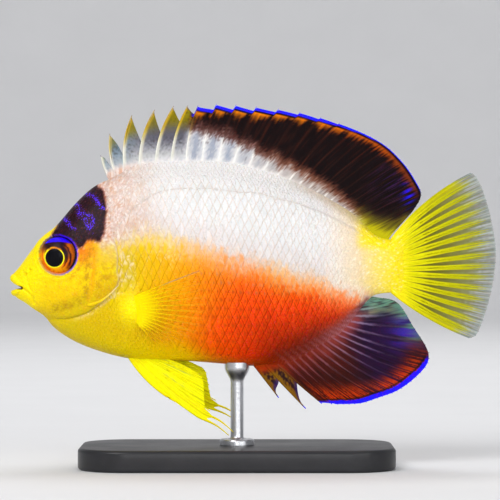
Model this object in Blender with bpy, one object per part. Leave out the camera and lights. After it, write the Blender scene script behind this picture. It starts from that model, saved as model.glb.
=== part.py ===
"""A life-size still model of a multicolor angelfish, swimming to the left on a plain display stand.

Sizes are in millimetres and places are in the fish's own frame: x is the distance behind the tip of
the upper lip, z the height above the body axis, y the distance from the middle plane, positive on
the fish's right. place() turns them into world metres, with the stand's foot on the floor.
"""

import math

import bmesh
import bpy
import numpy as np
from mathutils import Vector

MM = 0.001
GAP = 0.3  # clearance between nodes that touch
TOTAL_LENGTH = 90.0
AXIS_HEIGHT = 40.0  # body axis above the floor

# The body: outlines of the back and belly, half-widths, and the level where each section is widest
NOSE_X = 0.75
TAIL_X = 71.3
BACK = [
    (0.75, -4.3), (1.5, -3.5), (2.7, -1.9), (4.2, 0.15), (5.6, 1.85), (8.6, 4.45), (12.3, 8.7),
    (15.2, 11.4), (18.2, 13.1), (21.3, 14.2), (26.0, 14.9), (33.0, 15.2), (40.0, 14.9), (45.0, 13.9),
    (50.7, 12.0), (57.0, 9.2), (62.0, 6.3), (66.0, 3.8), (69.0, 2.2), (71.3, 2.0),
]
BELLY = [
    (0.75, -8.3), (1.5, -8.95), (2.7, -9.65), (4.2, -10.75), (6.4, -12.25), (7.9, -14.0), (9.3, -15.2),
    (12.3, -17.0), (16.7, -18.7), (21.9, -20.0), (28.0, -20.3), (33.0, -20.5), (38.9, -20.95),
    (44.4, -21.4), (49.1, -20.7), (53.7, -19.0), (57.4, -17.0), (61.1, -14.8), (63.8, -12.2),
    (65.7, -9.8), (67.5, -8.3), (71.3, -7.9),
]
HALF_WIDTH = [
    (0.75, 1.35), (2.0, 2.2), (4.0, 3.3), (6.0, 4.3), (9.3, 5.6), (13.0, 6.7), (17.0, 7.4),
    (22.0, 7.9), (29.0, 8.1), (37.0, 7.8), (45.0, 6.8), (52.0, 5.3), (59.0, 3.7), (64.0, 2.5),
    (68.0, 1.6), (71.3, 1.0),
]
WIDEST_LEVEL = [
    (0.75, -6.3), (3.0, -5.2), (9.3, -2.2), (18.0, -3.0), (30.0, -3.5), (48.0, -2.8), (60.0, -2.6),
    (71.3, -2.9),
]
UPPER_SHARPNESS = [(0.75, 0.9), (8.0, 0.68), (12.0, 0.75), (19.0, 1.05), (30.0, 1.15), (71.3, 1.1)]
LOWER_SHARPNESS = [(0.75, 0.9), (8.0, 0.95), (18.0, 0.85), (35.0, 0.85), (50.0, 1.1), (71.3, 1.0)]
STATIONS = 42
STATION_POWER = 1.3  # packs the stations towards the nose
AROUND = 28

# Lines that part the flesh, seen from the side
GILL_LINE = [
    (17.5, 16.0), (17.9, 12.5), (18.7, 6.5), (20.0, 0.9), (20.4, -1.7), (20.3, -3.9), (20.6, -5.3),
    (20.1, -6.8), (18.5, -8.6), (16.7, -10.1), (15.1, -11.2), (13.0, -12.1), (10.2, -12.7),
    (7.3, -12.8), (5.5, -12.1), (3.0, -12.1),
]
COVER_FRONT = [(13.4, -11.9), (14.4, -10.0), (15.3, -7.6), (15.7, -4.6), (15.9, -1.2), (17.8, -0.1)]
COVER_REAR = [
    (19.6, -0.4), (20.0, -2.0), (20.0, -3.9), (20.25, -5.2), (19.8, -6.6), (18.3, -8.3), (16.5, -9.8),
    (14.9, -10.9),
]
COVER_THICKNESS = 1.4
COVER_SWELL = 0.45  # how far the gill cover's rear edge stands proud of the flank behind it
JAW_LINE = [(-3.0, -6.9), (1.9, -7.0), (3.9, -8.5), (4.9, -9.8), (5.3, -11.0), (5.6, -14.0)]
STALK_X = 65.4  # where the tail stalk is parted from the torso
REACH = 20.0  # half-length, across the body, of the prisms that part it

# Mouth, nostrils and eyes
MOUTH_GAP = [(-3.0, -5.4), (0.5, -6.15), (1.3, -6.55), (1.9, -7.0), (1.0, -7.1), (0.5, -7.2), (-3.0, -7.7)]
LIP_SIDES = 8
LIP_STEPS = 10
UPPER_LIP = {"front": 0.85, "depth": 1.7, "half": 1.95, "level": -5.2, "drop": -1.35, "radius": 0.85}
LOWER_LIP = {"front": 0.87, "depth": 1.5, "half": 1.75, "level": -7.85, "drop": 0.5, "radius": 0.66}
LIP_TAPER = 0.4  # share of a lip's radius that is lost at the corner of the mouth
NOSTRILS = [(3.1, -4.5, 0.26), (3.95, -3.7, 0.32)]
NOSTRIL_DEPTH = 0.8
EYE_X = 9.3
EYE_Z = -0.9
EYE_RADIUS = 3.4
EYE_HALF_DEPTH = 2.4
EYE_STANDS_OUT = 0.75
EYE_TURN = math.radians(14.0)  # each eye faces a little forward
ORBIT_RADIUS = 3.78
ORBIT_RIM = 0.34
EYE_SEGMENTS = 20
EYE_RINGS = 10

# Cheek spine, along the lower rear edge of the gill cover
CHEEK_SPINE_ROOT = (15.0, -10.2)
CHEEK_SPINE_TIP = (19.5, -5.9)
CHEEK_SPINE_RADIUS = 0.5

# Fins. A membrane is a little over half a millimetre thick, and its rays stand out of it as ridges.
MEMBRANE = 0.26  # half-thickness
MARGIN = 0.16
RAY = 0.46  # half-thickness of a ray at its root
RAY_TIP = 0.24
RAY_HALF_WIDTH = 0.42
SHEATH = 0.85  # half-thickness of the scaly sheath at the root of the dorsal and anal fins

DORSAL_SPINES = 14
DORSAL_RAYS = 16
DORSAL_ROOTS = [(1, 18.7), (2, 19.9), (3, 21.5), (4, 24.1), (7, 32.7), (10, 40.9), (14, 50.6), (30, 69.5)]
DORSAL_TIPS_X = [
    (1, 16.8), (2, 18.5), (3, 22.6), (4, 26.8), (5, 30.3), (6, 32.9), (7, 34.8), (8, 38.2), (10, 45.6),
    (12, 53.7), (14, 61.0), (17, 68.4), (20, 72.6), (23, 75.3), (25, 76.2), (27, 75.0), (30, 71.1),
]
DORSAL_TIPS_Z = [
    (1, 17.5), (2, 21.5), (3, 24.9), (4, 25.9), (5, 26.6), (6, 26.7), (7, 26.7), (8, 27.0), (10, 26.5),
    (12, 25.5), (14, 23.5), (17, 20.2), (20, 16.5), (23, 12.6), (25, 10.4), (27, 7.8), (30, 3.5),
]
DORSAL_NOTCHES = [(1, 0.2), (2, 0.2), (3, 0.33), (4, 0.47), (5, 0.57), (6, 0.74), (7, 0.86), (10, 0.93), (14, 0.98)]
DORSAL_BOWS = [(1, 0.2), (2, 0.6), (3, 0.95), (4, 1.05), (5, 1.0), (6, 0.9), (8, 0.6), (14, 0.35), (30, 0.0)]
DORSAL_ROWS = 6

ANAL_SPINES = 3
ANAL_RAYS = 17
ANAL_ROOTS = [(1, 45.0), (2, 46.8), (3, 48.6), (4, 50.2), (20, 66.2)]
ANAL_TIPS_X = [
    (1, 49.7), (2, 54.7), (3, 57.7), (4, 60.2), (6, 64.4), (8, 68.6), (10, 72.2), (12, 75.7), (13, 77.3),
    (14, 77.7), (16, 74.6), (18, 71.6), (20, 67.6),
]
ANAL_TIPS_Z = [
    (1, -27.3), (2, -29.3), (3, -28.4), (4, -28.6), (6, -28.5), (8, -27.3), (10, -25.9), (12, -23.2),
    (13, -21.3), (14, -19.6), (16, -13.9), (18, -9.6), (20, -8.7),
]
ANAL_NOTCHES = [(1, 0.4), (2, 0.38), (3, 0.5), (4, 0.97), (5, 1.0)]
ANAL_ROWS = 6

CAUDAL_RAYS = 17
CAUDAL_TIPS_X = [(1, 85.2), (3, 87.4), (6, 89.1), (9, 90.0), (12, 89.2), (15, 87.5), (17, 84.8)]
CAUDAL_TIPS_Z = [(1, 14.2), (3, 11.4), (6, 6.0), (9, -0.6), (12, -7.2), (15, -13.2), (17, -16.2)]
CAUDAL_BOWS = [(1, 1.2), (9, 0.0), (17, -0.7)]  # how far each ray bends away from the straight
CAUDAL_ROOT_HALF = 0.95
CAUDAL_ROWS = 7

PECTORAL_RAYS = 15
PECTORAL_ROOT_X = [(1, 22.6), (15, 23.7)]
PECTORAL_ROOT_Z = [(1, -8.7), (15, -13.2)]
PECTORAL_TIPS_X = [(1, 35.4), (3, 37.7), (6, 38.6), (9, 37.4), (12, 33.6), (15, 28.0)]
PECTORAL_TIPS_Z = [(1, -3.6), (3, -5.4), (6, -9.7), (9, -14.0), (12, -17.2), (15, -17.6)]
PECTORAL_SPLAY = math.radians(23.0)
PECTORAL_CLEARANCE = 0.78  # from the flank to the middle of the root
PECTORAL_ROWS = 5

PELVIC_ROOT_X = [(1, 21.7), (7, 24.4)]
PELVIC_ROOT_Z = -19.0
PELVIC_TIPS_X = [(1, 31.2), (2, 40.5), (3, 41.3), (4, 36.3), (5, 36.1), (6, 35.7), (7, 33.0)]
PELVIC_TIPS_Z = [(1, -28.1), (2, -33.9), (3, -33.3), (4, -28.4), (5, -25.9), (6, -23.5), (7, -21.6)]
PELVIC_BOWS = [(1, -0.9), (2, -1.2), (3, -0.7), (4, -0.3), (5, 0.0), (7, 0.3)]
PELVIC_MEMBRANE_ENDS = [(1, 0.97), (2, 0.74), (3, 0.74), (4, 0.97), (7, 0.97)]
PELVIC_HALF_SPACING = 1.1
PELVIC_SPLAY = math.tan(math.radians(15.0))
PELVIC_RAISE = {"left": 0.0, "right": math.radians(6.0)}
PELVIC_ROWS = 7

# Display stand
BASE_X = 42.0
BASE_LENGTH = 58.0
BASE_WIDTH = 32.0
BASE_HEIGHT = 4.0
BASE_CORNER = 9.0
BASE_BEVEL = 0.7
ROD_X = 42.0
ROD_RADIUS = 1.2
ROD_SEGMENTS = 16
FOOT_RADIUS = 3.2
FOOT_HEIGHT = 1.1
SADDLE_RADIUS = 2.3
SADDLE_DEPTH = 3.2
SADDLE_TOP = 3.0  # runs this far into the belly before it is cut to fit

YELLOW = (0.92, 0.68, 0.02)
FLANK = (0.93, 0.42, 0.10)
DARK_BROWN = (0.10, 0.045, 0.03)
VIOLET_BROWN = (0.16, 0.06, 0.09)
EYE_BLACK = (0.02, 0.015, 0.02)
STAND_BLACK = (0.03, 0.03, 0.032)
STEEL = (0.55, 0.56, 0.58)


def curve(points):
    """A smooth function through (x, value) points, with no overshoot between them."""
    xs = np.array([p[0] for p in points], float)
    ys = np.array([p[1] for p in points], float)
    steps = np.diff(ys) / np.diff(xs)
    slopes = np.concatenate([steps[:1], (steps[:-1] + steps[1:]) / 2, steps[-1:]])
    for i in range(1, len(xs) - 1):
        if steps[i - 1] * steps[i] <= 0:
            slopes[i] = 0.0
        else:
            most = 3 * min(abs(steps[i - 1]), abs(steps[i]))
            slopes[i] = math.copysign(min(abs(slopes[i]), most), slopes[i])

    def value(x):
        x = min(max(x, xs[0]), xs[-1])
        i = min(max(int(np.searchsorted(xs, x)) - 1, 0), len(xs) - 2)
        width = xs[i + 1] - xs[i]
        t = (x - xs[i]) / width
        start = (1 + 2 * t) * (1 - t) ** 2 * ys[i] + t * (1 - t) ** 2 * width * slopes[i]
        end = t * t * (3 - 2 * t) * ys[i + 1] - t * t * (1 - t) * width * slopes[i + 1]
        return float(start + end)

    return value


def polyline(points, count):
    """count points along a smooth line through the given (x, z) points."""
    line_x = curve([(i, p[0]) for i, p in enumerate(points)])
    line_z = curve([(i, p[1]) for i, p in enumerate(points)])
    return [(line_x(t), line_z(t)) for t in np.linspace(0, len(points) - 1, count)]


def shifted(line, distance):
    """The line moved sideways, to the left of its direction for a positive distance."""
    line = np.array(line, float)
    along = np.gradient(line, axis=0)
    along /= np.linalg.norm(along, axis=1)[:, None]
    return [tuple(p) for p in line + distance * np.stack([-along[:, 1], along[:, 0]], axis=1)]


back = curve(BACK)
belly = curve(BELLY)
half_width = curve(HALF_WIDTH)
widest_level = curve(WIDEST_LEVEL)
upper_sharpness = curve(UPPER_SHARPNESS)
lower_sharpness = curve(LOWER_SHARPNESS)


def flank(x, z):
    """The body's half-width at a place on its side."""
    level = widest_level(x)
    if z > level:
        share, sharpness = (z - level) / (back(x) - level), upper_sharpness(x)
    else:
        share, sharpness = (level - z) / (level - belly(x)), lower_sharpness(x)
    return half_width(x) * max(0.0, 1 - share * share) ** (sharpness / 2)


def cover_swell(x, z):
    """How far the head swells out towards the rear edge of the gill cover."""
    across = math.exp(-(((x - 19.5) / 5.0) ** 2))
    down = math.exp(-(((z + 5.0) / 5.5) ** 2))
    return COVER_SWELL * across * down


def place(point):
    """World metres from a point in the fish's frame."""
    return ((point[0] - TOTAL_LENGTH / 2) * MM, point[1] * MM, (point[2] + AXIS_HEIGHT) * MM)


def solid(name, points, faces):
    """A mesh object from points in the fish's frame and faces that are turned to face out."""
    mesh = bpy.data.meshes.new(name)
    mesh.from_pydata([place(p) for p in points], [], faces)
    shape = bmesh.new()
    shape.from_mesh(mesh)
    bmesh.ops.recalc_face_normals(shape, faces=shape.faces)
    shape.to_mesh(mesh)
    shape.free()
    made = bpy.data.objects.new(name, mesh)
    bpy.context.scene.collection.objects.link(made)
    return made


def rings_solid(name, rings):
    """A closed solid from rings of equal length, in order, with flat ends."""
    count = len(rings[0])
    points = [p for ring in rings for p in ring]
    faces = []
    for i in range(len(rings) - 1):
        for j in range(count):
            k = (j + 1) % count
            faces.append((i * count + j, i * count + k, (i + 1) * count + k, (i + 1) * count + j))
    last = (len(rings) - 1) * count
    faces.append(tuple(range(count)))
    faces.append(tuple(range(last, last + count)))
    return solid(name, points, faces)


def fish_body(name, grow=0.0, swell=None):
    """The whole body without fins. grow moves its skin out, or in where it is negative."""
    rings = []
    for i in range(STATIONS):
        x = NOSE_X + (TAIL_X - NOSE_X) * (i / (STATIONS - 1)) ** STATION_POWER
        level = widest_level(x)
        ring = []
        for j in range(AROUND):
            angle = 2 * math.pi * j / AROUND
            up, out = math.sin(angle), math.cos(angle)
            height = back(x) + grow - level if up > 0 else level - belly(x) + grow
            sharpness = upper_sharpness(x) if up > 0 else lower_sharpness(x)
            z = level + height * up
            y = (half_width(x) + grow) * abs(out) ** sharpness
            if swell:
                y += swell(x, z) * min(1.0, 2 * abs(out))
            ring.append((x, math.copysign(y, out) if abs(out) > 1e-6 else 0.0, z))
        rings.append(ring)
    ends = ((0, -grow), (-1, grow)) if grow else ()
    for index, shift in ends:
        rings[index] = [(x + shift, y, z) for x, y, z in rings[index]]
    return rings_solid(name, rings)


def prism(outline, low_y=-REACH, high_y=REACH):
    """A solid with the given outline in the side view, reaching across the body."""
    rings = [[(x, y, z) for x, z in outline] for y in (low_y, high_y)]
    return rings_solid("prism", rings)


def settled(obj):
    """Replaces the object's mesh with what its modifiers make of it, and keeps its largest surface."""
    graph = bpy.context.evaluated_depsgraph_get()
    mesh = bpy.data.meshes.new_from_object(obj.evaluated_get(graph))
    obj.modifiers.clear()
    obj.data = mesh
    shape = bmesh.new()
    shape.from_mesh(mesh)
    left, surfaces = set(shape.verts), []
    while left:
        found, edge = set(), [left.pop()]
        while edge:
            vert = edge.pop()
            found.add(vert)
            near = {link.other_vert(vert) for link in vert.link_edges} & left
            left -= near
            edge.extend(near)
        surfaces.append(found)
    surfaces.sort(key=len)
    for surface in surfaces[:-1]:
        bmesh.ops.delete(shape, geom=list(surface), context="VERTS")
    shape.to_mesh(mesh)
    shape.free()
    return obj


def cut(obj, other, operation="DIFFERENCE"):
    """Cuts obj with other, or keeps what they share, and removes other."""
    modifier = obj.modifiers.new("cut", "BOOLEAN")
    modifier.operation = operation
    modifier.solver = "EXACT"
    modifier.object = other
    settled(obj)
    bpy.data.objects.remove(other)
    return obj


def joined(obj, others):
    """Fuses the others into obj."""
    group = bpy.data.collections.new("pieces")
    bpy.context.scene.collection.children.link(group)
    for other in others:
        bpy.context.scene.collection.objects.unlink(other)
        group.objects.link(other)
    modifier = obj.modifiers.new("join", "BOOLEAN")
    modifier.operation = "UNION"
    modifier.solver = "EXACT"
    modifier.operand_type = "COLLECTION"
    modifier.collection = group
    settled(obj)
    for other in others:
        bpy.data.objects.remove(other)
    bpy.data.collections.remove(group)
    return obj


def tube(name, path, radii, sides):
    """A round tube along a path, with flat ends."""
    path = [Vector(p) for p in path]
    rings = []
    for i, point in enumerate(path):
        along = (path[min(i + 1, len(path) - 1)] - path[max(i - 1, 0)]).normalized()
        up = (Vector((0, 0, 1)) - along * along.z).normalized()
        side = along.cross(up)
        turns = [2 * math.pi * k / sides for k in range(sides)]
        rings.append([tuple(point + radii[i] * (math.cos(a) * side + math.sin(a) * up)) for a in turns])
    return rings_solid(name, rings)


def ellipsoid(centre, radius, half_depth, turn):
    """A flattened ball whose short axis lies across the body, turned forward by an angle."""
    side = math.copysign(1, centre[1])
    points, faces = [], []
    for i in range(1, EYE_RINGS):
        polar = math.pi * i / EYE_RINGS
        for j in range(EYE_SEGMENTS):
            around = 2 * math.pi * j / EYE_SEGMENTS
            flat = radius * math.sin(polar)
            points.append((flat * math.cos(around), half_depth * math.cos(polar), flat * math.sin(around)))
    first, last = len(points), len(points) + 1
    points += [(0, half_depth, 0), (0, -half_depth, 0)]
    for i in range(EYE_RINGS - 2):
        for j in range(EYE_SEGMENTS):
            k = (j + 1) % EYE_SEGMENTS
            a, b = i * EYE_SEGMENTS, (i + 1) * EYE_SEGMENTS
            faces.append((a + j, a + k, b + k, b + j))
    end = (EYE_RINGS - 2) * EYE_SEGMENTS
    for j in range(EYE_SEGMENTS):
        k = (j + 1) % EYE_SEGMENTS
        faces.append((first, j, k))
        faces.append((last, end + j, end + k))
    cos_t, sin_t = math.cos(turn), side * math.sin(turn)
    turned = [(x * cos_t - y * sin_t, x * sin_t + y * cos_t, z) for x, y, z in points]
    return solid("ball", [tuple(np.add(p, centre)) for p in turned], faces)


def eye_centre(side):
    depth = flank(EYE_X, EYE_Z) + EYE_STANDS_OUT - EYE_HALF_DEPTH
    return (EYE_X, side * depth, EYE_Z)


def orbit_rim(side):
    """The raised ring of skin round an eye."""
    ring_y = EYE_HALF_DEPTH - EYE_STANDS_OUT - 0.15
    cos_t, sin_t = math.cos(EYE_TURN), math.sin(EYE_TURN)
    rim_sides = 6
    points, faces = [], []
    for j in range(EYE_SEGMENTS):
        around = 2 * math.pi * j / EYE_SEGMENTS
        for k in range(rim_sides):
            angle = 2 * math.pi * k / rim_sides
            reach = ORBIT_RADIUS + ORBIT_RIM * math.cos(angle)
            x, z = reach * math.cos(around), reach * math.sin(around)
            y = ring_y + 2 * ORBIT_RIM * math.sin(angle)
            turned = (x * cos_t - y * sin_t, side * (x * sin_t + y * cos_t), z)
            points.append(tuple(np.add(turned, eye_centre(side))))
    for j in range(EYE_SEGMENTS):
        for k in range(rim_sides):
            a, b = j * rim_sides, ((j + 1) % EYE_SEGMENTS) * rim_sides
            m = (k + 1) % rim_sides
            faces.append((a + k, a + m, b + m, b + k))
    return solid("rim", points, faces)


def lip(sizes):
    """One lip, a bent tube that is thickest in front and thins towards the corners of the mouth."""
    path, radii = [], []
    for i in range(LIP_STEPS + 1):
        angle = math.pi * (i / LIP_STEPS - 0.5)
        back_share = 1 - math.cos(angle)
        x = sizes["front"] + sizes["depth"] * back_share
        path.append((x, sizes["half"] * math.sin(angle), sizes["level"] + sizes["drop"] * back_share))
        radii.append(sizes["radius"] * (1 - LIP_TAPER * back_share))
    return tube("lip", path, radii, LIP_SIDES)


def head_outline(shift):
    """The part of the side view in front of the gill line, which is moved by shift."""
    line = shifted(polyline(GILL_LINE, 40), shift)
    return line + [(-6.0, -12.1 - shift), (-6.0, 16.0)]


def torso_outline(shift):
    line = shifted(polyline(GILL_LINE, 40), shift)
    rear = STALK_X - GAP / 2
    return line + [(3.0, -30.0), (rear, -30.0), (rear, 25.0), (17.5, 25.0)]


def cover_outline(grow):
    line = polyline(COVER_FRONT, 12) + polyline(COVER_REAR, 16)
    closed = np.array(line, float)
    ahead, behind = np.roll(closed, -1, axis=0), np.roll(closed, 1, axis=0)
    along = (ahead - behind) / np.linalg.norm(ahead - behind, axis=1)[:, None]
    return [tuple(p) for p in closed + grow * np.stack([-along[:, 1], along[:, 0]], axis=1)]


def jaw_outline(shift):
    line = shifted(polyline(JAW_LINE, 16), shift)
    return line + [(-3.0, -14.0)]


def cover_blank(side, grow):
    """The shell that a gill cover is made from, larger by grow all round where it is a cutter."""
    low, high = (0.5, REACH) if side > 0 else (-REACH, -0.5)
    shell = prism(cover_outline(grow), low, high)
    cut(shell, fish_body("outer", grow, cover_swell), "INTERSECT")
    return cut(shell, fish_body("inner", -COVER_THICKNESS - grow, cover_swell))


def cheek_spine(side, grow=0.0):
    """The stout spine at the lower corner of the gill cover, larger by grow where it is a cutter."""
    path, radii = [], []
    for share in np.linspace(0, 1, 7).tolist():
        x = CHEEK_SPINE_ROOT[0] + share * (CHEEK_SPINE_TIP[0] - CHEEK_SPINE_ROOT[0])
        z = CHEEK_SPINE_ROOT[1] + share * (CHEEK_SPINE_TIP[1] - CHEEK_SPINE_ROOT[1])
        z -= 0.7 * math.sin(math.pi * share)
        y = flank(x, z) + cover_swell(x, z) + 0.05
        path.append((x, side * y, z))
        radii.append(CHEEK_SPINE_RADIUS * (1 - 0.75 * share) + grow)
    return tube("spine", path, radii, 6)


def make_gill_cover(name, side):
    cover = cover_blank(side, 0.0)
    joined(cover, [cheek_spine(side)])
    cover.name = name
    return cover


def make_eye(name, side):
    eye = ellipsoid(eye_centre(side), EYE_RADIUS, EYE_HALF_DEPTH, EYE_TURN)
    eye.name = name
    return eye


def nostril(side, x, z, radius):
    surface = flank(x, z)
    low, high = sorted((side * (surface - NOSTRIL_DEPTH), side * (surface + 2)))
    ring = [(x + radius * math.cos(a), z + radius * math.sin(a)) for a in np.arange(8) * math.pi / 4]
    return prism(ring, low, high)


def make_head_and_jaw():
    """The head with its upper lip, orbit rims, eye sockets and nostrils, and the lower jaw."""
    head = cut(fish_body("head", 0.0, cover_swell), prism(head_outline(-GAP / 2)), "INTERSECT")
    joined(head, [lip(UPPER_LIP), lip(LOWER_LIP), orbit_rim(-1), orbit_rim(1)])
    cut(head, prism(MOUTH_GAP))
    for side in (-1, 1):
        cut(head, ellipsoid(eye_centre(side), EYE_RADIUS + GAP, EYE_HALF_DEPTH + GAP, EYE_TURN))
        for x, z, radius in NOSTRILS:
            cut(head, nostril(side, x, z, radius))
        cut(head, cover_blank(side, GAP))
        cut(head, cheek_spine(side, GAP))
    jaw = head.copy()
    jaw.data = head.data.copy()
    bpy.context.scene.collection.objects.link(jaw)
    cut(jaw, prism(jaw_outline(-GAP / 2)), "INTERSECT")
    cut(head, prism(jaw_outline(GAP / 2)))
    head.name, jaw.name = "head", "lower_jaw"
    return head, jaw


def make_torso():
    torso = cut(fish_body("torso"), prism(torso_outline(GAP / 2)), "INTERSECT")
    return torso


def make_tail_stalk():
    front = STALK_X + GAP / 2
    box = [(front, -30.0), (TAIL_X + 5, -30.0), (TAIL_X + 5, 25.0), (front, 25.0)]
    return cut(fish_body("tail_stalk"), prism(box), "INTERSECT")


def ray_lines(count, roots, tips, bows=None):
    """For each ray, a function from 0 at the root to 1 at the tip that gives its (x, z)."""
    lines = []
    for i in range(1, count + 1):
        root, tip = np.array(roots(i), float), np.array(tips(i), float)
        along = tip - root
        aside = np.array([-along[1], along[0]]) / np.linalg.norm(along)
        bow = bows(i) if bows else 0.0

        def line(t, root=root, along=along, aside=aside, bow=bow):
            return root + along * t + aside * bow * 4 * t * (1 - t)

        lines.append(line)
    return lines


def fin_columns(lines, rows, front_ends, rear_ends, thickness):
    """Columns of (x, z, half-thickness) over a fin: each ray's crest and the foot on either side of it.

    front_ends and rear_ends give how far up each ray the membrane is attached, as a share of it.
    """

    def foot(i, j, t):
        """The foot of ray i towards its neighbour j, at a share t of the membrane's height."""
        near, far = (front_ends, rear_ends) if j < i else (rear_ends, front_ends)
        here = lines[i](t * near(i + 1))
        if 0 <= j < len(lines):
            there = lines[j](t * far(j + 1))
        else:
            other = 2 * i - j
            there = 2 * here - lines[other](t * near(i + 1))
        gap = np.linalg.norm(there - here)
        width = RAY_HALF_WIDTH * (1 - 0.45 * t)
        return here + (there - here) * min(0.32, width / max(gap, 1e-6))

    shares = np.linspace(0, 1, rows + 1).tolist()
    columns = []
    for i, line in enumerate(lines):
        before = [(*foot(i, i - 1, t), thickness(t, False)) for t in shares]
        crest = [(*line(t), thickness(t, True)) for t in shares]
        after = [(*foot(i, i + 1, t), thickness(t, False)) for t in shares]
        columns += [before, crest, after]
    return columns


def sheet(name, columns, spread):
    """A closed thin solid over the columns. spread turns (x, z, offset) into a point.

    Both faces are split into triangles alike, so that they never cross.
    """
    rows = len(columns[0])
    points, faces = [], []
    for side in (1, -1):
        for column in columns:
            points += [spread(x, z, side * half) for x, z, half in column]
    back_start = len(columns) * rows
    for c in range(len(columns) - 1):
        for r in range(rows - 1):
            a, b = c * rows + r, (c + 1) * rows + r
            for tri in ((a, b, b + 1), (a, b + 1, a + 1)):
                faces.append(tri)
                faces.append(tuple(back_start + k for k in reversed(tri)))
    rim = [c * rows for c in range(len(columns))]
    rim += [(len(columns) - 1) * rows + r for r in range(1, rows)]
    rim += [c * rows + rows - 1 for c in range(len(columns) - 2, -1, -1)]
    rim += [r for r in range(rows - 2, 0, -1)]
    for a, b in zip(rim, rim[1:] + rim[:1]):
        faces.append((b, a, back_start + a))
        faces.append((b, back_start + a, back_start + b))
    return solid(name, points, faces)


def sheathed(t, crest, sheath=SHEATH):
    """Half-thickness of a fin: a thick scaly root, then the membrane, with rays standing out of it."""
    ray = RAY + (RAY_TIP - RAY) * t
    web = MEMBRANE if t < 0.95 else MARGIN
    root = max(0.0, 1 - t / 0.4)
    return (ray if crest else web) + (sheath - RAY) * root * root


def plain(t, crest):
    return sheathed(t, crest, RAY)


def in_plane(x, z, offset):
    return (x, offset, z)


def make_dorsal_fin():
    """Fourteen spines with notched webs between them, then sixteen soft rays to a rounded lobe."""
    root_x, tip_x, tip_z = curve(DORSAL_ROOTS), curve(DORSAL_TIPS_X), curve(DORSAL_TIPS_Z)
    notch = curve(DORSAL_NOTCHES)
    lines = ray_lines(
        DORSAL_SPINES + DORSAL_RAYS,
        lambda i: (root_x(i), back(root_x(i)) + GAP),
        lambda i: (tip_x(i), tip_z(i)),
        curve(DORSAL_BOWS),
    )
    columns = fin_columns(lines, DORSAL_ROWS, notch, lambda i: 0.97, sheathed)
    return sheet("dorsal_fin", columns, in_plane)


def make_anal_fin():
    """Three spines and seventeen soft rays under the rear of the body."""
    root_x, tip_x, tip_z = curve(ANAL_ROOTS), curve(ANAL_TIPS_X), curve(ANAL_TIPS_Z)
    notch = curve(ANAL_NOTCHES)
    lines = ray_lines(
        ANAL_SPINES + ANAL_RAYS,
        lambda i: (root_x(i), belly(root_x(i)) - GAP),
        lambda i: (tip_x(i), tip_z(i)),
    )
    columns = fin_columns(lines, ANAL_ROWS, notch, lambda i: 0.97, sheathed)
    return sheet("anal_fin", columns, in_plane)


def make_caudal_fin():
    """The tail fin, whose root is as thick as the end of the tail stalk."""
    tip_x, tip_z, bows = curve(CAUDAL_TIPS_X), curve(CAUDAL_TIPS_Z), curve(CAUDAL_BOWS)
    top, bottom = back(TAIL_X) - 0.4, belly(TAIL_X) + 0.4
    lines = ray_lines(
        CAUDAL_RAYS,
        lambda i: (TAIL_X + GAP, top + (bottom - top) * (i - 1) / (CAUDAL_RAYS - 1)),
        lambda i: (tip_x(i), tip_z(i)),
        bows,
    )

    def thickness(t, crest):
        return sheathed(t, crest, CAUDAL_ROOT_HALF)

    columns = fin_columns(lines, CAUDAL_ROWS, lambda i: 0.99, lambda i: 0.99, thickness)
    return sheet("caudal_fin", columns, in_plane)


def make_pectoral_fin(name, side):
    """A fan behind the gill cover, its rear edge swung out from the flank."""
    root_x, root_z = curve(PECTORAL_ROOT_X), curve(PECTORAL_ROOT_Z)
    tip_x, tip_z = curve(PECTORAL_TIPS_X), curve(PECTORAL_TIPS_Z)
    lines = ray_lines(
        PECTORAL_RAYS, lambda i: (root_x(i), root_z(i)), lambda i: (tip_x(i), tip_z(i))
    )
    hinge_x = PECTORAL_ROOT_X[0][1]
    slope = math.tan(PECTORAL_SPLAY)

    def spread(x, z, offset):
        y = flank(hinge_x, z) + PECTORAL_CLEARANCE + (x - hinge_x) * slope
        return (x - offset * math.sin(PECTORAL_SPLAY), side * (y + offset), z)

    fin = sheet(name, fin_columns(lines, PECTORAL_ROWS, lambda i: 0.99, lambda i: 0.99, plain), spread)
    return cut(fin, fish_body("flesh", GAP))


def make_pelvic_fin(name, side, raised):
    """A spine and six branches below the belly, the first two drawn out into threads."""
    root_x = curve(PELVIC_ROOT_X)
    tip_x, tip_z = curve(PELVIC_TIPS_X), curve(PELVIC_TIPS_Z)
    ends = curve(PELVIC_MEMBRANE_ENDS)
    count = PELVIC_TIPS_X[-1][0]

    def tip(i):
        x, z = tip_x(i) - root_x(i), tip_z(i) - PELVIC_ROOT_Z
        cos_a, sin_a = math.cos(raised), math.sin(raised)
        return (root_x(i) + x * cos_a - z * sin_a, PELVIC_ROOT_Z + x * sin_a + z * cos_a)

    lines = ray_lines(count, lambda i: (root_x(i), PELVIC_ROOT_Z), tip, curve(PELVIC_BOWS))

    def spread(x, z, offset):
        y = PELVIC_HALF_SPACING + (PELVIC_ROOT_Z - z) * PELVIC_SPLAY + offset
        return (x, side * y, z)

    fin = sheet(name, fin_columns(lines, PELVIC_ROWS, ends, ends, plain), spread)
    return cut(fin, fish_body("flesh", GAP))


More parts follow.
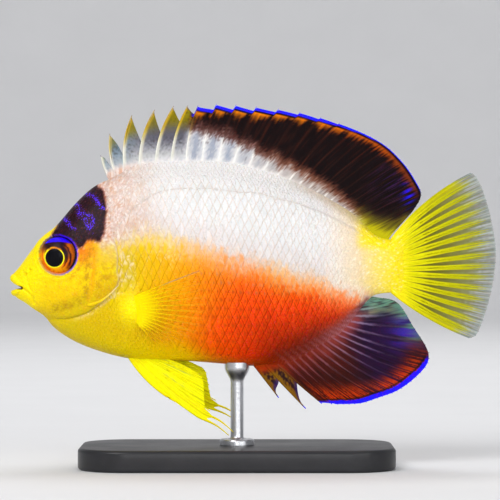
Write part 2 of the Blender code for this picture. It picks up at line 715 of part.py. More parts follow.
def make_stand_base():
    """A flat plate with round corners and a small bevel all round."""
    corners = []
    for quarter in range(4):
        start = quarter * math.pi / 2
        centre_x = BASE_X + math.copysign(BASE_LENGTH / 2 - BASE_CORNER, math.cos(start + math.pi / 4))
        centre_y = math.copysign(BASE_WIDTH / 2 - BASE_CORNER, math.sin(start + math.pi / 4))
        for step in range(7):
            angle = start + step * math.pi / 12
            corners.append((centre_x, centre_y, math.cos(angle), math.sin(angle)))
    floor = -AXIS_HEIGHT
    levels = [(floor, BASE_BEVEL), (floor + BASE_BEVEL, 0), (floor + BASE_HEIGHT - BASE_BEVEL, 0)]
    levels.append((floor + BASE_HEIGHT, BASE_BEVEL))
    rings = []
    for z, inset in levels:
        radius = BASE_CORNER - inset
        rings.append([(x + radius * c, y + radius * s, z) for x, y, c, s in corners])
    return rings_solid("stand_base", rings)


def make_stand_rod():
    """A rod with a round foot, widening at the top into a saddle cut to the belly."""
    foot = -AXIS_HEIGHT + BASE_HEIGHT + GAP
    top = belly(ROD_X) + SADDLE_TOP
    saddle = belly(ROD_X) - SADDLE_DEPTH
    profile = [
        (FOOT_RADIUS, foot), (FOOT_RADIUS, foot + FOOT_HEIGHT), (ROD_RADIUS, foot + FOOT_HEIGHT + 0.6),
        (ROD_RADIUS, saddle), (SADDLE_RADIUS, belly(ROD_X) - 0.4), (SADDLE_RADIUS, top),
    ]
    turns = [2 * math.pi * k / ROD_SEGMENTS for k in range(ROD_SEGMENTS)]
    rings = [[(ROD_X + r * math.cos(a), r * math.sin(a), z) for a in turns] for r, z in profile]
    return cut(rings_solid("stand_rod", rings), fish_body("flesh", GAP))


def finish(obj, colour, roughness, metallic=0.0):
    """Gives a node its material and smooth shading with sharp edges kept."""
    material = bpy.data.materials.new(obj.name)
    material.use_nodes = True
    shader = material.node_tree.nodes["Principled BSDF"]
    shader.inputs["Base Color"].default_value = (*colour, 1.0)
    shader.inputs["Roughness"].default_value = roughness
    shader.inputs["Metallic"].default_value = metallic
    obj.data.materials.clear()
    obj.data.materials.append(material)
    obj.data.shade_smooth()
    obj.data.set_sharp_from_angle(angle=math.radians(40))


def main():
    for old in list(bpy.data.objects):
        bpy.data.objects.remove(old)
    head, jaw = make_head_and_jaw()
    finish(head, YELLOW, 0.35)
    finish(jaw, YELLOW, 0.35)
    finish(make_torso(), FLANK, 0.35)
    finish(make_tail_stalk(), YELLOW, 0.35)
    finish(make_dorsal_fin(), DARK_BROWN, 0.4)
    finish(make_anal_fin(), VIOLET_BROWN, 0.4)
    finish(make_caudal_fin(), YELLOW, 0.4)
    for side, word in ((-1, "left"), (1, "right")):
        finish(make_gill_cover(f"gill_cover_{word}", side), YELLOW, 0.35)
        finish(make_eye(f"eye_{word}", side), EYE_BLACK, 0.1)
        finish(make_pectoral_fin(f"pectoral_fin_{word}", side), YELLOW, 0.4)
        finish(make_pelvic_fin(f"pelvic_fin_{word}", side, PELVIC_RAISE[word]), YELLOW, 0.4)
    finish(make_stand_base(), STAND_BLACK, 0.4)
    finish(make_stand_rod(), STEEL, 0.3, 1.0)


main()
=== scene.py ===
"""The looks of a life-size multicolor angelfish on a plain display stand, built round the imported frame.

Sizes are in millimetres and places are in the fish's own frame: x is the distance behind the tip of
the upper lip, z the height above the body axis, y the distance from the middle plane, positive on
the fish's right. world() turns them into metres. Colours are written as sRGB from 0 to 255.
"""

import math

import bmesh
import bpy
import numpy as np
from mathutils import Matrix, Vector, noise

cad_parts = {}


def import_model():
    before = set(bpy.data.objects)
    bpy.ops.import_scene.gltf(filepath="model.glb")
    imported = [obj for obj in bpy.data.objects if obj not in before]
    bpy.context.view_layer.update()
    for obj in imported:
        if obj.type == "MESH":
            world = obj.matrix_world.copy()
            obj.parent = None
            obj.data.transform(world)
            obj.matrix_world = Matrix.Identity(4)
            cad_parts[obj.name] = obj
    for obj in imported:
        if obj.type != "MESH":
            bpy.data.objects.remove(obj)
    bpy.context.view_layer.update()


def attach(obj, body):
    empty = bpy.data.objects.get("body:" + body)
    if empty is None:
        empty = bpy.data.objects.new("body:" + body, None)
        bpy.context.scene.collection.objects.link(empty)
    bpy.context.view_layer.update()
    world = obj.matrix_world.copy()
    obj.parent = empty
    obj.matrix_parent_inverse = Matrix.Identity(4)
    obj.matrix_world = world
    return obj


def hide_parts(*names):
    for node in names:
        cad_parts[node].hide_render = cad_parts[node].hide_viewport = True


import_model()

MM = 0.001
TOTAL_LENGTH = 90.0
AXIS_HEIGHT = 40.0
SIDES = {"left": -1, "right": 1}
SEED = 11

# The body, with the same outlines, half-widths and levels as the solids
NOSE_X = 0.75
TAIL_X = 73.0
CAUDAL_ROOT_X = 71.3
BACK = [
    (0.75, -4.3), (1.5, -3.5), (2.7, -1.9), (4.2, 0.15), (5.6, 1.85), (8.6, 4.45), (12.3, 8.7),
    (15.2, 11.4), (18.2, 13.1), (21.3, 14.2), (26.0, 14.9), (33.0, 15.2), (40.0, 14.9), (45.0, 13.9),
    (50.7, 12.0), (57.0, 9.2), (62.0, 6.3), (66.0, 3.8), (69.0, 2.2), (71.3, 2.0), (73.0, 3.0),
]
BELLY = [
    (0.75, -8.3), (1.5, -8.95), (2.7, -9.65), (4.2, -10.75), (6.4, -12.25), (7.9, -14.0), (9.3, -15.2),
    (12.3, -17.0), (16.7, -18.7), (21.9, -20.0), (28.0, -20.3), (33.0, -20.5), (38.9, -20.95),
    (44.4, -21.4), (49.1, -20.7), (53.7, -19.0), (57.4, -17.0), (61.1, -14.8), (63.8, -12.2),
    (65.7, -9.8), (67.5, -8.3), (71.3, -7.9), (73.0, -8.6),
]
HALF_WIDTH = [
    (0.75, 1.35), (2.0, 2.2), (4.0, 3.3), (6.0, 4.3), (9.3, 5.6), (13.0, 6.7), (17.0, 7.4),
    (22.0, 7.9), (29.0, 8.1), (37.0, 7.8), (45.0, 6.8), (52.0, 5.3), (59.0, 3.7), (64.0, 2.5),
    (68.0, 1.6), (71.3, 0.85), (73.0, 0.05),
]
WIDEST_LEVEL = [
    (0.75, -6.3), (3.0, -5.2), (9.3, -2.2), (18.0, -3.0), (30.0, -3.5), (48.0, -2.8), (60.0, -2.6),
    (71.3, -2.9),
]
UPPER_SHARPNESS = [(0.75, 0.9), (8.0, 0.68), (12.0, 0.75), (19.0, 1.05), (30.0, 1.15), (71.3, 1.1)]
LOWER_SHARPNESS = [(0.75, 0.9), (8.0, 0.95), (18.0, 0.85), (35.0, 0.85), (50.0, 1.1), (71.3, 1.0)]
KEEL_UP = [(19.5, 0.0), (24.0, 1.4), (62.0, 1.5), (68.5, 0.0)]  # the flesh that runs up the dorsal fin
KEEL_DOWN = [(46.0, 0.0), (52.0, 1.3), (61.0, 1.3), (65.8, 0.0)]  # and down the anal fin
KEEL_EDGE = 0.12
STATIONS = 332
STATION_POWER = 1.5
SHARES = 151  # points from back to belly on one side

# Head lines, seen from the side
GILL_LINE = [
    (17.5, 16.0), (17.9, 12.5), (18.7, 6.5), (20.0, 0.9), (20.4, -1.7), (20.3, -3.9), (20.6, -5.3),
    (20.1, -6.8), (18.5, -8.6), (16.7, -10.1), (15.1, -11.2), (13.0, -12.1), (10.2, -12.7),
    (7.3, -12.8), (5.5, -12.1), (3.0, -12.1),
]
FLAP_EDGE = [(19.3, 3.6)] + GILL_LINE[3:13] + [(7.6, -12.75)]
FLAP_DEPTH = 4.2
FLAP_LIFT = 0.3
FLAP_SINK = 0.12
PREOPERCLE = [
    (15.9, -0.4), (15.8, -2.5), (15.5, -5.6), (15.2, -8.2), (14.6, -9.4), (12.6, -10.6), (9.5, -11.3),
]
CHEEK_SPINE_ROOT = (14.9, -10.0)
CHEEK_SPINE_TIP = (20.6, -6.3)
CHEEK_SPINE_RADIUS = 0.32
COVER_SWELL = 0.35
UPPER_LIP = {"front": 0.85, "depth": 1.7, "half": 1.95, "level": -5.2, "drop": -1.35, "radius": 0.85}
LOWER_LIP = {"front": 0.87, "depth": 1.5, "half": 1.75, "level": -7.85, "drop": 0.5, "radius": 0.66}
LIP_TAPER = 0.4
MOUTH_GAP = [
    (-3.0, -4.7), (0.3, -5.85), (1.1, -6.35), (2.1, -6.8), (2.3, -7.0), (1.2, -7.2), (0.3, -7.5),
    (-3.0, -8.2),
]
MOUTH_SLIT = [(0.9, -6.8), (2.3, -6.98)]
JAW_FOLD = [(2.1, -7.0), (3.1, -7.6), (4.1, -8.6), (4.6, -9.9)]
SNOUT_FOLD = [(2.6, -3.9), (3.3, -5.0), (3.6, -6.4), (4.2, -7.7)]
EYE_FOLD = [(5.2, -5.6), (6.9, -6.1), (9.0, -6.3), (11.4, -5.7)]
NOSTRILS = [(3.1, -4.5, 0.26), (3.95, -3.7, 0.3)]
EYE_X = 9.3
EYE_Z = -0.9
EYE_RADIUS = 3.4
EYE_HALF_DEPTH = 2.4
EYE_STANDS_OUT = 0.75
EYE_TURN = math.radians(14.0)
ORBIT_RADIUS = 3.68
PUPIL_X = 8.66
PUPIL_Z = -1.42
PUPIL_RADIUS = 1.66
PECTORAL_BASE = (22.3, -10.9)

# Scales
SCALE_ROWS = 27
SCALE_PITCH = 1.46
SCALE_LIFT = 0.024
SCALE_THICKNESS = 0.014
SCALE_FIRST_X = 7.5
SCALE_LAST_X = 72.4
SCALES_CLEAR_OF = (22.6, -11.0)  # the pectoral fin's root
LATERAL_LINE = [
    (19.9, 3.7), (22.7, 7.3), (26.0, 9.7), (27.7, 10.6), (30.1, 11.1), (32.8, 11.3), (36.0, 11.3),
    (39.0, 11.05), (42.8, 10.6), (45.8, 10.45), (49.2, 9.5), (52.6, 8.7), (55.0, 7.9), (58.5, 6.45),
    (61.8, 4.9), (64.5, 3.1),
]

# Markings on the head and flank
MASK = [
    (16.2, 11.8), (17.3, 10.9), (18.05, 8.7), (18.1, 6.7), (17.8, 5.2), (17.75, 3.1), (17.0, 1.7),
    (15.6, 1.9), (14.6, 2.0), (13.8, 0.6), (13.0, 0.3), (12.4, 1.2), (10.6, 2.4), (8.0, 2.5), (8.5, 3.6),
    (9.2, 4.7), (8.8, 6.0), (12.0, 10.0), (15.2, 13.5),
]
MASK_STRIPES = [
    [(14.2, 10.3), (15.2, 10.0), (16.4, 9.1), (16.9, 8.1), (17.6, 7.6)],
    [(12.3, 8.5), (13.0, 7.8), (13.0, 6.7), (13.6, 6.1), (14.3, 5.5), (14.8, 4.3), (15.2, 3.3)],
    [(13.0, 7.4), (14.0, 6.7), (15.2, 6.1), (15.8, 5.4), (15.4, 4.3)],
    [(10.3, 5.7), (10.8, 5.4), (11.4, 4.6), (12.3, 3.9)],
]
WHITE_LEVEL = [
    (18.0, 0.2), (21.7, 0.7), (25.4, 1.3), (29.1, 0.2), (35.2, -1.6), (41.3, -3.6), (47.6, -5.1),
    (53.7, -6.9),
    (57.0, -7.3), (59.8, -7.6), (64.0, -8.4), (71.0, -9.6),
]
WARM = [
    (18.0, (220, 184, 2)), (25.0, (226, 178, 2)), (30.0, (243, 168, 2)), (34.5, (250, 146, 1)),
    (39.0, (252, 120, 1)), (43.0, (253, 98, 1)), (47.0, (250, 76, 1)), (51.0, (232, 60, 1)),
    (55.0, (212, 50, 1)), (60.0, (180, 42, 4)), (64.0, (152, 38, 16)), (70.0, (112, 32, 16)),
    (76.0, (92, 28, 18)),
]
BELLY_EDGE = [
    (14.0, (228, 198, 2)), (24.0, (246, 216, 1)), (33.0, (250, 200, 1)), (38.0, (240, 134, 4)),
    (43.0, (206, 78, 2)), (48.0, (160, 46, 6)), (52.0, (122, 34, 14)), (58.0, (100, 30, 18)),
    (64.0, (104, 50, 46)),
]
STALK = [
    (57.0, (230, 220, 215)), (61.0, (230, 215, 198)), (64.4, (232, 208, 166)), (67.0, (238, 212, 118)),
    (69.5, (240, 216, 70)), (71.5, (240, 218, 24)),
]
CREST = [
    (50.0, (206, 200, 194)), (56.0, (186, 170, 156)), (60.0, (178, 156, 132)), (64.0, (172, 152, 98)),
    (66.5, (138, 122, 10)), (70.0, (156, 148, 6)),
]
EYE_RING = [
    (-180, (196, 180, 60)), (-135, (190, 160, 110)), (-90, (150, 120, 170)), (-45, (124, 96, 226)),
    (0, (110, 84, 235)), (15, (80, 40, 250)), (80, (70, 20, 250)), (110, (100, 70, 170)),
    (140, (120, 100, 110)), (180, (196, 180, 60)),
]
WHITE = (224, 220, 218)
SHADED_WHITE = (218, 207, 204)
NAPE_PINK = (206, 168, 152)
HEAD_YELLOW = (248, 224, 3)
CHEEK_YELLOW = (240, 200, 3)
# the chin's olive: partly its own tone, partly painted shade where the chin faces down
CHIN_OLIVE_AND_SHADE = (206, 180, 4)
MASK_BLACK = (32, 10, 17)
STRIPE_VIOLET = (82, 42, 226)

# Fins, with the same rays as the solids
FIN_ROOT_DEPTH = 0.6
DORSAL_SPINES = 14
DORSAL_RAYS = 16
DORSAL_ROOTS = [(1, 18.7), (2, 19.9), (3, 21.5), (4, 24.1), (7, 32.7), (10, 40.9), (14, 50.6), (30, 69.5)]
DORSAL_TIPS = [
    (1, 16.8, 17.5), (2, 18.5, 21.5), (3, 22.6, 24.9), (4, 26.8, 25.9), (5, 30.3, 26.6), (6, 32.9, 26.7),
    (7, 34.8, 26.7), (8, 38.2, 27.0), (10, 45.6, 26.5), (12, 53.7, 25.5), (14, 61.0, 23.5),
    (17, 68.4, 20.2), (20, 72.6, 16.5), (23, 75.3, 12.6), (25, 76.2, 10.4), (27, 75.0, 7.8),
    (30, 71.1, 3.5),
]
DORSAL_NOTCHES = [
    (1, 0.2), (2, 0.2), (3, 0.33), (4, 0.47), (5, 0.57), (6, 0.74), (7, 0.86), (10, 0.93), (14, 0.975),
]
DORSAL_BOWS = [(1, 0.2), (2, 0.6), (3, 0.95), (4, 1.05), (5, 1.0), (6, 0.9), (8, 0.6), (14, 0.35), (30, 0.0)]
DORSAL_WHITE = [
    (18.0, 27.0), (24.0, 26.8), (31.0, 23.8), (35.2, 22.9), (41.3, 21.3), (47.6, 18.2), (53.7, 15.2),
    (59.8, 11.3), (64.8, 7.2), (67.2, 4.6), (71.0, 2.4),
]

ANAL_SPINES = 3
ANAL_RAYS = 17
ANAL_ROOTS = [(1, 45.0), (2, 46.8), (3, 48.6), (4, 50.2), (20, 66.2)]
ANAL_TIPS = [
    (1, 49.7, -27.3), (2, 54.7, -29.3), (3, 57.7, -28.4), (4, 60.2, -28.6), (6, 64.4, -28.5),
    (8, 68.6, -27.3), (10, 72.2, -25.9), (12, 75.7, -23.2), (13, 77.3, -21.3), (14, 77.7, -19.6),
    (16, 74.6, -13.9), (18, 71.6, -9.6), (20, 67.6, -8.7),
]
ANAL_NOTCHES = [(1, 0.4), (2, 0.38), (3, 0.5), (4, 0.97), (5, 1.0)]
ANAL_BLUE = [(3, 0.6), (5, 1.3), (10, 1.25), (13, 0.9), (14.6, 0.05)]  # width of the blue edge
ANAL_TOP_LINE = [(65.5, -9.6), (70.0, -9.4), (73.4, -12.0), (75.2, -15.4)]
ANAL_BOWS = [(1, 0.0), (4, -0.2), (8, -0.7), (14, -0.6), (20, 0.0)]

CAUDAL_RAYS = 17
CAUDAL_TIPS = [
    (1, 85.3, 14.3), (1.5, 86.0, 14.0), (2, 86.6, 13.2), (3, 87.5, 11.4), (6, 89.1, 6.0), (9, 90.0, -0.6),
    (12, 89.2, -7.2), (15, 87.4, -13.5), (16, 86.5, -15.5), (16.5, 85.9, -16.1), (17, 85.0, -16.3),
]
CAUDAL_BOWS = [(1, 1.2), (9, 0.0), (17, -0.7)]

PECTORAL_RAYS = 15
PECTORAL_ROOTS = [
    (1, 22.6, -8.7), (15, 23.7, -13.2),
]
PECTORAL_TIPS = [
    (1, 35.4, -3.6), (3, 37.7, -5.4), (6, 38.6, -9.7), (9, 37.4, -14.0), (12, 33.6, -17.2),
    (15, 28.0, -17.6),
]
PECTORAL_SPLAY = math.radians(23.0)
PECTORAL_CLEARANCE = 0.78

PELVIC_ROOT_X = [(1, 21.7), (7, 24.4)]
PELVIC_ROOT_Z = -19.0
PELVIC_TIPS = [
    (1, 31.2, -28.1), (2, 40.5, -33.9), (3, 41.3, -33.3), (4, 36.3, -28.4), (5, 36.1, -25.9),
    (6, 35.7, -23.5), (7, 33.0, -21.6),
]
PELVIC_BOWS = [(1, -0.9), (2, -1.2), (3, -0.7), (4, -0.3), (5, 0.0), (7, 0.3)]
PELVIC_MEMBRANE_ENDS = [
    (1, 0.985), (1.6, 0.88), (2, 0.86), (2.5, 0.77), (3, 0.8), (3.3, 0.8), (4, 0.985), (7, 0.985),
]
PELVIC_HALF_SPACING = 1.1
PELVIC_SPLAY = math.tan(math.radians(15.0))
PELVIC_RAISE = {"left": 0.0, "right": math.radians(6.0)}

# Display stand
BASE_X = 42.0
BASE_LENGTH = 58.0
BASE_WIDTH = 32.0
BASE_HEIGHT = 4.0
BASE_CORNER = 9.0
BASE_BEVEL = 0.7
ROD_X = 42.0
ROD_RADIUS = 1.2
FOOT_RADIUS = 3.2
FOOT_HEIGHT = 1.1
SADDLE_RADIUS = 2.3
SADDLE_DEPTH = 3.2
QUARTER = [k * math.pi / 16 for k in range(9)]
SHARP_ANGLE = math.radians(50)

# Camera and studio
FRAME_WIDTH = 92.4
FRAME_CENTRE = (44.4, 0.0)
LENS = 200.0
SENSOR = 36.0
FLOOR_RADIUS = 1.1
FLOOR_CURVE = 0.4
WALL_HEIGHT = 1.6


def curve(points):
    """A smooth function of an array through (x, value) points, with no overshoot between them."""
    xs = np.array([p[0] for p in points], float)
    ys = np.array([p[1] for p in points], float)
    steps = np.diff(ys) / np.diff(xs)
    slopes = np.concatenate([steps[:1], (steps[:-1] + steps[1:]) / 2, steps[-1:]])
    for i in range(1, len(xs) - 1):
        if steps[i - 1] * steps[i] <= 0:
            slopes[i] = 0.0
        else:
            most = 3 * min(abs(steps[i - 1]), abs(steps[i]))
            slopes[i] = math.copysign(min(abs(slopes[i]), most), slopes[i])

    def value(x):
        x = np.clip(np.asarray(x, float), xs[0], xs[-1])
        i = np.clip(np.searchsorted(xs, x) - 1, 0, len(xs) - 2)
        width = xs[i + 1] - xs[i]
        t = (x - xs[i]) / width
        start = (1 + 2 * t) * (1 - t) ** 2 * ys[i] + t * (1 - t) ** 2 * width * slopes[i]
        end = t * t * (3 - 2 * t) * ys[i + 1] - t * t * (1 - t) * width * slopes[i + 1]
        return start + end

    return value


def curves(points):
    """Two curves, from (place, value, value) points."""
    return [curve([(p[0], p[k]) for p in points]) for k in (1, 2)]


def polyline(points, count):
    """count points along a smooth line through the given (x, z) points."""
    line_x, line_z = curves([(i, *p) for i, p in enumerate(points)])
    t = np.linspace(0, len(points) - 1, count)
    return np.stack([line_x(t), line_z(t)], axis=1)


def smooth(value, low, high):
    """0 below low, 1 above high, and a soft step between. low may be the larger."""
    t = np.clip((np.asarray(value, float) - low) / (high - low), 0, 1)
    return t * t * (3 - 2 * t)


def hump(value, centre, width):
    """A bell of height 1 at centre."""
    return np.exp(-(((value - centre) / width) ** 2))


def mottle(x, z, size, seed=0.0):
    """Noise from about -1 to 1, with blotches about size across."""
    return np.array([noise.noise((a / size, seed, b / size)) for a, b in zip(x.tolist(), z.tolist())])


def mix(first, second, share):
    """Colours part of the way from the first to the second."""
    share = np.atleast_1d(share).astype(float)[:, None]
    return np.asarray(first, float) * (1 - share) + np.asarray(second, float) * share


def layered(colours, *layers):
    """Colours with (colour, share) layers laid over them one by one."""
    for colour, share in layers:
        colours = mix(colours, colour, share)
    return colours


def ramp(value, stops):
    """Colours read off a list of (place, colour)."""
    places = [s[0] for s in stops]
    return np.stack([np.interp(value, places, [s[1][k] for s in stops]) for k in range(3)], axis=1)


def linear(colour):
    """Linear light from sRGB written as 0 to 255."""
    c = np.clip(np.asarray(colour, float) / 255, 0, 1)
    return np.where(c <= 0.04045, c / 12.92, ((c + 0.055) / 1.055) ** 2.4)


def line_distance(x, z, line):
    """Distance to a line of points, and +1 or -1 for the side, + being left of its direction."""
    start, step = line[:-1], np.diff(line, axis=0)
    px = x[:, None] - start[None, :, 0]
    pz = z[:, None] - start[None, :, 1]
    t = np.clip((px * step[:, 0] + pz * step[:, 1]) / (step**2).sum(axis=1), 0, 1)
    dx, dz = px - t * step[:, 0], pz - t * step[:, 1]
    far = np.hypot(dx, dz)
    best = far.argmin(axis=1)
    rows = np.arange(len(x))
    turn = step[best, 0] * pz[rows, best] - step[best, 1] * px[rows, best]
    return far[rows, best], np.sign(turn)


def inside(x, z, outline):
    """Signed distance to a closed outline, positive inside."""
    closed = np.vstack([outline, outline[:1]])
    far, _ = line_distance(x, z, closed)
    within = np.zeros(len(x), bool)
    for (ax, az), (bx, bz) in zip(closed[:-1], closed[1:]):
        if az == bz:
            continue
        crosses = ((az > z) != (bz > z)) & (x < (bx - ax) * (z - az) / (bz - az) + ax)
        within ^= crosses
    return np.where(within, far, -far)


def world(points):
    """Metres in the frame of the solids from millimetres in the fish's frame."""
    return (np.asarray(points, float) + (-TOTAL_LENGTH / 2, 0.0, AXIS_HEIGHT)) * MM


def unit(vectors):
    return vectors / np.maximum(np.linalg.norm(vectors, axis=-1, keepdims=True), 1e-12)


back = curve(BACK)
belly = curve(BELLY)
half_width = curve(HALF_WIDTH)
widest_level = curve(WIDEST_LEVEL)
upper_sharpness = curve(UPPER_SHARPNESS)
lower_sharpness = curve(LOWER_SHARPNESS)
white_level = curve(WHITE_LEVEL)
anal_root = curve(ANAL_ROOTS)
gill_line = polyline(GILL_LINE, 60)


class Shape:
    """Points and faces of one piece, gathered part by part, with a few values for each point."""

    def __init__(self):
        self.points, self.faces, self.values = [], [], []
        self.count = 0

    def add(self, points, faces, **values):
        points = np.asarray(points, float).reshape(-1, 3)
        self.points.append(points)
        self.faces.extend([tuple(self.count + k for k in face) for face in faces])
        table = {key: np.broadcast_to(value, len(points)).astype(float) for key, value in values.items()}
        self.values.append(table)
        self.count += len(points)

    def all_points(self):
        return np.vstack(self.points)

    def all_values(self, key):
        return np.concatenate([table[key] for table in self.values])


def piece(name, points, faces, slot, material, replaces=()):
    """One closed mesh object with its faces turned out, riding on the root."""
    mesh = bpy.data.meshes.new(name)
    mesh.from_pydata(world(points).tolist(), [], faces)
    shape = bmesh.new()
    shape.from_mesh(mesh)
    bmesh.ops.recalc_face_normals(shape, faces=shape.faces)
    shape.to_mesh(mesh)
    shape.free()
    mesh.shade_smooth()
    made = bpy.data.objects.new(name, mesh)
    bpy.context.scene.collection.objects.link(made)
    if material:
        made.data.materials.append(material)
    if slot:
        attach(made, "root")
    if replaces:
        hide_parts(*replaces)
    return made


def store(obj, name, values):
    """Stores a value from 0 to 1 for each point."""
    layer = obj.data.attributes.new(name, "FLOAT", "POINT")
    layer.data.foreach_set("value", np.clip(values, 0, 1))


def paint(obj, colours, clear=None):
    """Stores a colour for each point, and how far it shows what is behind it."""
    colours = linear(colours)
    table = np.ones((len(colours), 4))
    table[:, :3] = colours
    tone = obj.data.attributes.new("tone", "FLOAT_COLOR", "POINT")
    tone.data.foreach_set("color", table.ravel())
    if clear is not None:
        store(obj, "clear", clear)


def fish_places(obj):
    """The points of an object's mesh, in the fish's frame."""
    places = np.empty(len(obj.data.vertices) * 3)
    obj.data.vertices.foreach_get("co", places)
    return places.reshape(-1, 3) / MM - (-TOTAL_LENGTH / 2, 0.0, AXIS_HEIGHT)


def grid_faces(columns, rows):
    """Quads of a grid whose points run down each column in turn."""
    faces = []
    for c in range(columns - 1):
        a, b = c * rows, (c + 1) * rows
        faces += [(a + r, b + r, b + r + 1, a + r + 1) for r in range(rows - 1)]
    return faces


def ring_faces(rings, around):
    """Quads between closed rings of points, listed ring by ring."""
    faces = []
    for i in range(rings - 1):
        a, b = i * around, (i + 1) * around
        faces += [(a + j, a + (j + 1) % around, b + (j + 1) % around, b + j) for j in range(around)]
    return faces


def capped_faces(rings, around):
    """Closed rings with a flat face over each end."""
    last = (rings - 1) * around
    return ring_faces(rings, around) + [tuple(range(around)), tuple(range(last, last + around))]


def pointed_faces(rings, around):
    """Closed rings that run to a point on each end. The two points come last."""
    first, end = rings * around, (rings - 1) * around
    faces = ring_faces(rings, around)
    for s in range(around):
        n = (s + 1) % around
        faces += [(first, n, s), (first + 1, end + s, end + n)]
    return faces


def slab_faces(columns, rows):
    """Faces of a closed slab: a grid, its twin on the other face, and the rim between them."""
    twin = columns * rows
    front = grid_faces(columns, rows)
    rim = [c * rows for c in range(columns)]
    rim += [(columns - 1) * rows + r for r in range(1, rows)]
    rim += [c * rows + rows - 1 for c in range(columns - 2, -1, -1)]
    rim += [r for r in range(rows - 2, 0, -1)]
    faces = front + [tuple(twin + k for k in reversed(face)) for face in front]
    faces += [(b, a, twin + a, twin + b) for a, b in zip(rim, rim[1:] + rim[:1])]
    return faces


def tube_mesh(path, radii, normals, sides, flatten=1.0):
    """Points and faces of a tube that closes at a point on each end. flatten narrows it along normals."""
    along = unit(np.gradient(path, axis=0))
    across = unit(np.cross(along, normals))
    turns = 2 * math.pi * np.arange(sides) / sides
    rings = []
    for k in range(len(path)):
        ring = np.cos(turns)[:, None] * across[k] + flatten * np.sin(turns)[:, None] * normals[k]
        rings.append(path[k] + radii[k] * ring)
    return np.vstack(rings + [path[:1], path[-1:]]), pointed_faces(len(path), sides)


# Body surface

def body_table():
    """For each station, (y, z) at equal steps of the way round the flank from back to belly."""
    xs = NOSE_X + (TAIL_X - NOSE_X) * np.linspace(0, 1, STATIONS) ** STATION_POWER
    up = np.sin(np.linspace(math.pi / 2, -math.pi / 2, 481))
    table, girths = [], []
    keel_up, keel_down = curve(KEEL_UP), curve(KEEL_DOWN)
    for x in xs:
        level = widest_level(x)
        top, bottom = back(x) + keel_up(x), belly(x) - keel_down(x)
        z = level + np.where(up > 0, top - level, level - bottom) * up
        height = np.where(up > 0, back(x) - level, level - belly(x))
        sharpness = np.where(up > 0, upper_sharpness(x), lower_sharpness(x))
        y = half_width(x) * np.clip(1 - ((z - level) / height) ** 2, 0, 1) ** (sharpness / 2)
        for keel, fillet, depth in ((keel_up(x), 2.4, top - z), (keel_down(x), 4.2, z - bottom)):
            if keel > 0.02:
                far = keel + fillet * float(smooth(keel, 0.0, 1.2))
                order = np.argsort(depth)
                ends = np.interp((far - 0.2, far, far + 0.2), depth[order], y[order])
                slope = (ends[2] - ends[0]) / 0.4 * far
                h = np.clip(depth / far, 0, 1)
                web = KEEL_EDGE * (2 * h**3 - 3 * h**2 + 1) + 0.1 * far * (h**3 - 2 * h**2 + h)
                web += ends[1] * (3 * h**2 - 2 * h**3) + slope * (h**3 - h**2)
                web *= np.clip(depth / 0.1, 0, 1) ** 0.5
                y = np.where(depth < far, y + (web - y) * smooth(keel, 0.0, 0.8), y)
        y[[0, -1]] = 0.0
        way = np.concatenate([[0], np.cumsum(np.hypot(np.diff(y), np.diff(z)))])
        share = np.linspace(0, way[-1], SHARES)
        table.append(np.stack([np.interp(share, way, y), np.interp(share, way, z)], axis=1))
        girths.append(way[-1])
    return xs, np.array(table), np.array(girths)


station_xs, section_table, section_girths = body_table()


def girth(x):
    """The way round one flank, from back to belly."""
    return np.interp(x, station_xs, section_girths)


def flank_point(x, share):
    """Places on the right flank, at a share of the way from back to belly."""
    x, share = np.broadcast_arrays(np.asarray(x, float), np.asarray(share, float))
    i = np.clip((x - NOSE_X) / (TAIL_X - NOSE_X), 0, 1) ** (1 / STATION_POWER) * (STATIONS - 1)
    j = np.clip(share, 0, 1) * (SHARES - 1)
    i0 = np.clip(i.astype(int), 0, STATIONS - 2)
    j0 = np.clip(j.astype(int), 0, SHARES - 2)
    fi, fj = (i - i0)[..., None], (j - j0)[..., None]
    near = section_table[i0, j0] * (1 - fj) + section_table[i0, j0 + 1] * fj
    far = section_table[i0 + 1, j0] * (1 - fj) + section_table[i0 + 1, j0 + 1] * fj
    yz = near * (1 - fi) + far * fi
    return np.concatenate([x[..., None], yz], axis=-1)


def flank_normal(x, share):
    """Outward directions on the right flank."""
    step_x, step_share = 0.12, 0.006
    ahead, behind = np.maximum(x - step_x, NOSE_X), np.minimum(x + step_x, TAIL_X)
    over, under = np.clip(share - step_share, 0, 1), np.clip(share + step_share, 0, 1)
    along = flank_point(behind, share) - flank_point(ahead, share)
    down = flank_point(x, under) - flank_point(x, over)
    return unit(np.cross(along, down))


def flank(x, z):
    """The body's half-width at places on its side."""
    level = widest_level(x)
    above = z > level
    share = np.where(above, (z - level) / (back(x) - level), (level - z) / (level - belly(x)))
    sharpness = np.where(above, upper_sharpness(x), lower_sharpness(x))
    return half_width(x) * np.clip(1 - share * share, 0, 1) ** (sharpness / 2)


def groove(x, z, line, width):
    return hump(line_distance(x, z, polyline(line, 24))[0], 0.0, width)


